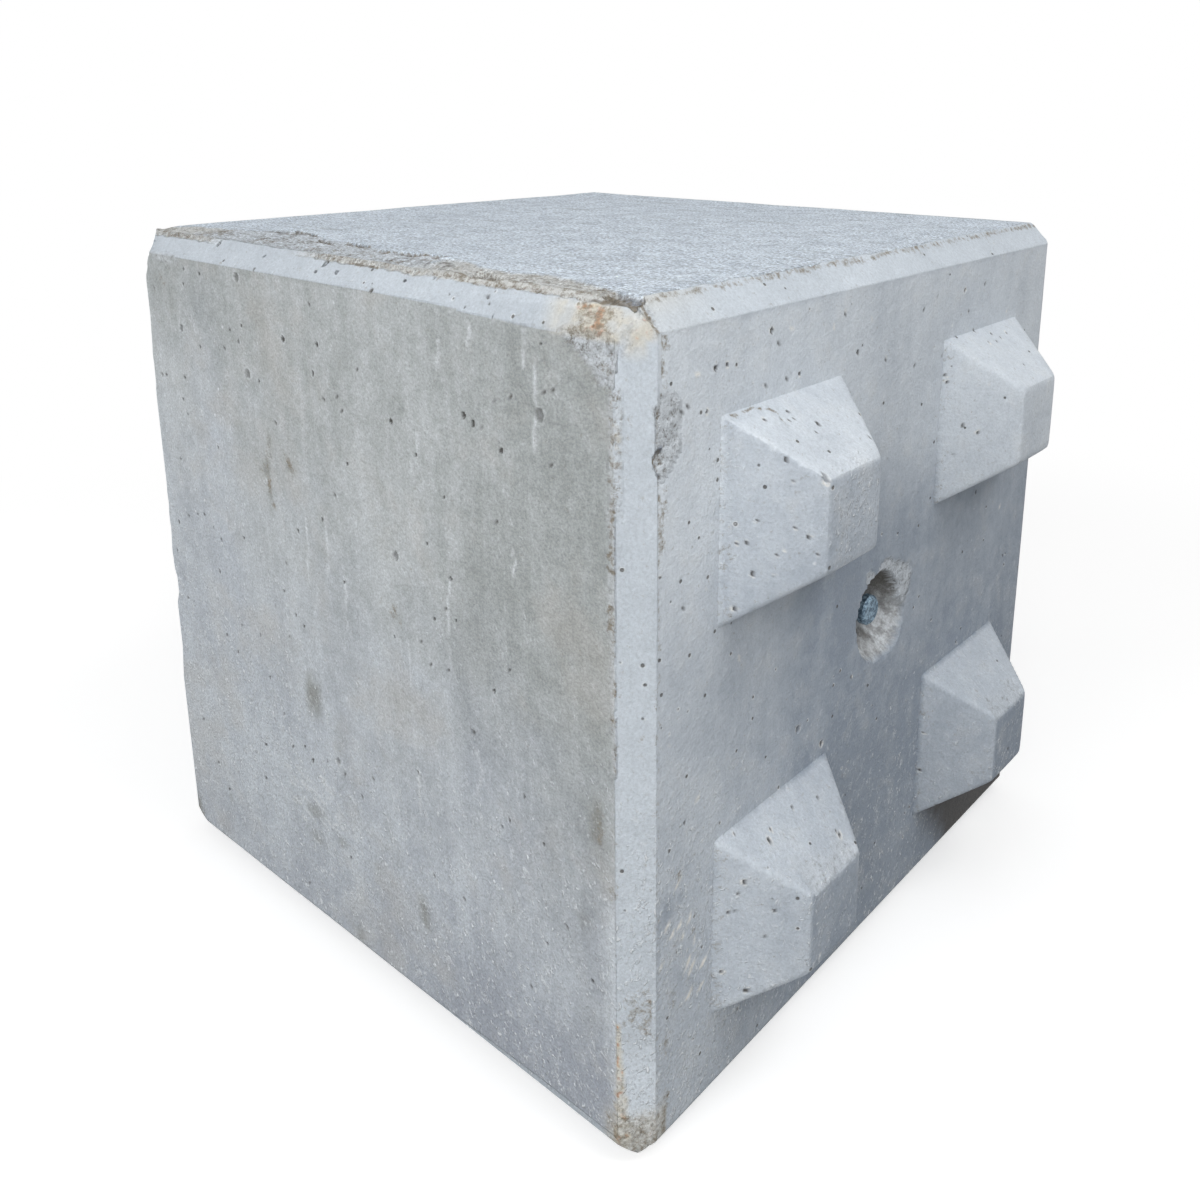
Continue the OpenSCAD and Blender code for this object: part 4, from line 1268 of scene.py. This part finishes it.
def galvanised_steel():
    """Hot-dip galvanised forging, long outdoors: dull blue-grey zinc with paler bloom in small patches."""
    material, tree, output = new_material("weathered_galvanised_steel")
    place = add_node(tree, "ShaderNodeTexCoord").outputs["Object"]
    bloom = add_node(tree, NOISE, {"Vector": place, "Scale": 1000 / 2.6, "Detail": 3.0, "Roughness": 0.65})
    amount = add_node(tree, RAMP, {0: bloom, "From Min": 0.42, "From Max": 0.62})
    colour = add_node(tree, MIX, {0: amount, 1: "#475a6a", 2: "#8fa6b6"}, **COLOURS)
    bump = add_node(tree, "ShaderNodeBump", {"Height": bloom, "Strength": 0.5, "Distance": 0.0008})
    inputs = {"Base Color": colour, "Metallic": 0.6, "Roughness": 0.55, "Normal": bump}
    shader = add_node(tree, "ShaderNodeBsdfPrincipled", inputs)
    tree.links.new(shader.outputs[0], output.inputs[0])
    return material


# ---------------------------------------------------------------------------
# Stage: floor, sky, lamps and camera
# ---------------------------------------------------------------------------
def seen_directly(tree):
    """1 for rays from the camera and for those that mirrors and glass pass on, 0 for the light that falls."""
    rays = add_node(tree, "ShaderNodeLightPath")
    seen = rays.outputs["Is Camera Ray"]
    for name in ("Is Glossy Ray", "Is Transmission Ray"):
        seen = add_node(tree, MATH, {0: seen, 1: rays.outputs[name]}, operation="MAXIMUM")
    return seen


def pale_floor():
    """A wide pale floor: seen, it is white but for the block's shadow; to the light, it is grey and throws
    little back. Further out it fades to plain white."""
    mesh = bpy.data.meshes.new("floor")
    reach = 30.0
    corners = [(-reach, -reach, 0), (reach, -reach, 0), (reach, reach, 0), (-reach, reach, 0)]
    mesh.from_pydata(corners, [], [(0, 1, 2, 3)])
    floor = bpy.data.objects.new("floor", mesh)
    bpy.context.scene.collection.objects.link(floor)
    material, tree, output = new_material("pale_floor_paint")
    place = add_node(tree, "ShaderNodeTexCoord").outputs["Object"]
    away = add_node(tree, "ShaderNodeVectorMath", {0: place}, operation="LENGTH")
    inputs = {0: away.outputs["Value"], "From Min": 0.7, "From Max": 1.6}
    far = add_node(tree, RAMP, inputs, **SOFT)
    dull = add_node(tree, "ShaderNodeBsdfDiffuse", {"Color": "#8f8f8d"})
    pale = add_node(tree, "ShaderNodeBsdfDiffuse", {"Color": "#e6e6e6"})
    glow = add_node(tree, "ShaderNodeEmission", {"Color": "#ffffff", "Strength": 0.42})
    white = add_node(tree, "ShaderNodeEmission", {"Color": "#ffffff", "Strength": 1.0})
    lit = add_node(tree, "ShaderNodeAddShader", {0: pale, 1: glow})
    lit = add_node(tree, "ShaderNodeMixShader", {0: far, 1: lit, 2: white})
    shader = add_node(tree, "ShaderNodeMixShader", {0: seen_directly(tree), 1: dull, 2: lit})
    tree.links.new(shader.outputs[0], output.inputs[0])
    mesh.materials.append(material)


def pale_sky():
    """Even light from all round, weaker than the white that is seen behind the block."""
    world = bpy.data.worlds.new("overcast_sky")
    bpy.context.scene.world = world
    world.use_nodes = True
    tree = world.node_tree
    tree.nodes.clear()
    light = add_node(tree, "ShaderNodeBackground", {"Color": "#ffffff", "Strength": 0.35})
    white = add_node(tree, "ShaderNodeBackground", {"Color": "#ffffff", "Strength": 1.0})
    shader = add_node(tree, "ShaderNodeMixShader", {0: seen_directly(tree), 1: light, 2: white})
    output = add_node(tree, "ShaderNodeOutputWorld")
    tree.links.new(shader.outputs[0], output.inputs[0])


def soft_lamp(name, place, size, power):
    """A square area lamp at a place in metres, turned to the middle of the block."""
    lamp = bpy.data.lights.new(name, "AREA")
    lamp.size, lamp.energy = size, power
    made = bpy.data.objects.new(name, lamp)
    made.location = place
    made.rotation_euler = (Vector((0, 0, HALF * MM)) - Vector(place)).to_track_quat("-Z", "Y").to_euler()
    bpy.context.scene.collection.objects.link(made)


def corner_camera():
    """Eye-level camera off the near upright chamfer: its place, the way it looks, its tilt and its lens."""
    heading, dip, tilt = math.radians(130.07), math.radians(14.48), math.radians(0.18)
    forward = Vector((math.cos(heading) * math.cos(dip), math.sin(heading) * math.cos(dip), -math.sin(dip)))
    level = forward.cross(Vector((0, 0, 1))).normalized()
    right = Matrix.Rotation(-tilt, 3, forward) @ level
    up = right.cross(forward)
    camera = bpy.data.cameras.new("camera")
    camera.lens, camera.sensor_width = 33.3, 36.0
    camera.shift_x, camera.shift_y = -0.05, -0.172
    made = bpy.data.objects.new("camera", camera)
    turn = Matrix((right, up, -forward)).transposed().to_4x4()
    made.matrix_world = Matrix.Translation((0.6917, -0.7454, 0.7037)) @ turn
    bpy.context.scene.collection.objects.link(made)
    bpy.context.scene.camera = made


block = concrete_skin()
block.data.materials.append(cast_concrete())
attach(block, "root")
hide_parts("concrete_block")

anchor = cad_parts["lifting_anchor"]
anchor.data.materials.clear()
anchor.data.materials.append(galvanised_steel())

pale_floor()
pale_sky()
soft_lamp("top_lamp", (0, 0, 2.6), 2.0, 6.0)
soft_lamp("far_left_lamp", (-2.0, -1.6, 1.4), 1.2, 16.7)
soft_lamp("camera_lamp", (1.2, -1.4, 1.2), 1.0, 14.4)
soft_lamp("far_right_lamp", (1.6, 0.4, 2.4), 1.2, 18.6)
soft_lamp("front_lamp", (0.3, -2.6, 0.9), 1.2, 14.5)
corner_camera()
bpy.context.scene.view_settings.view_transform = "Standard"
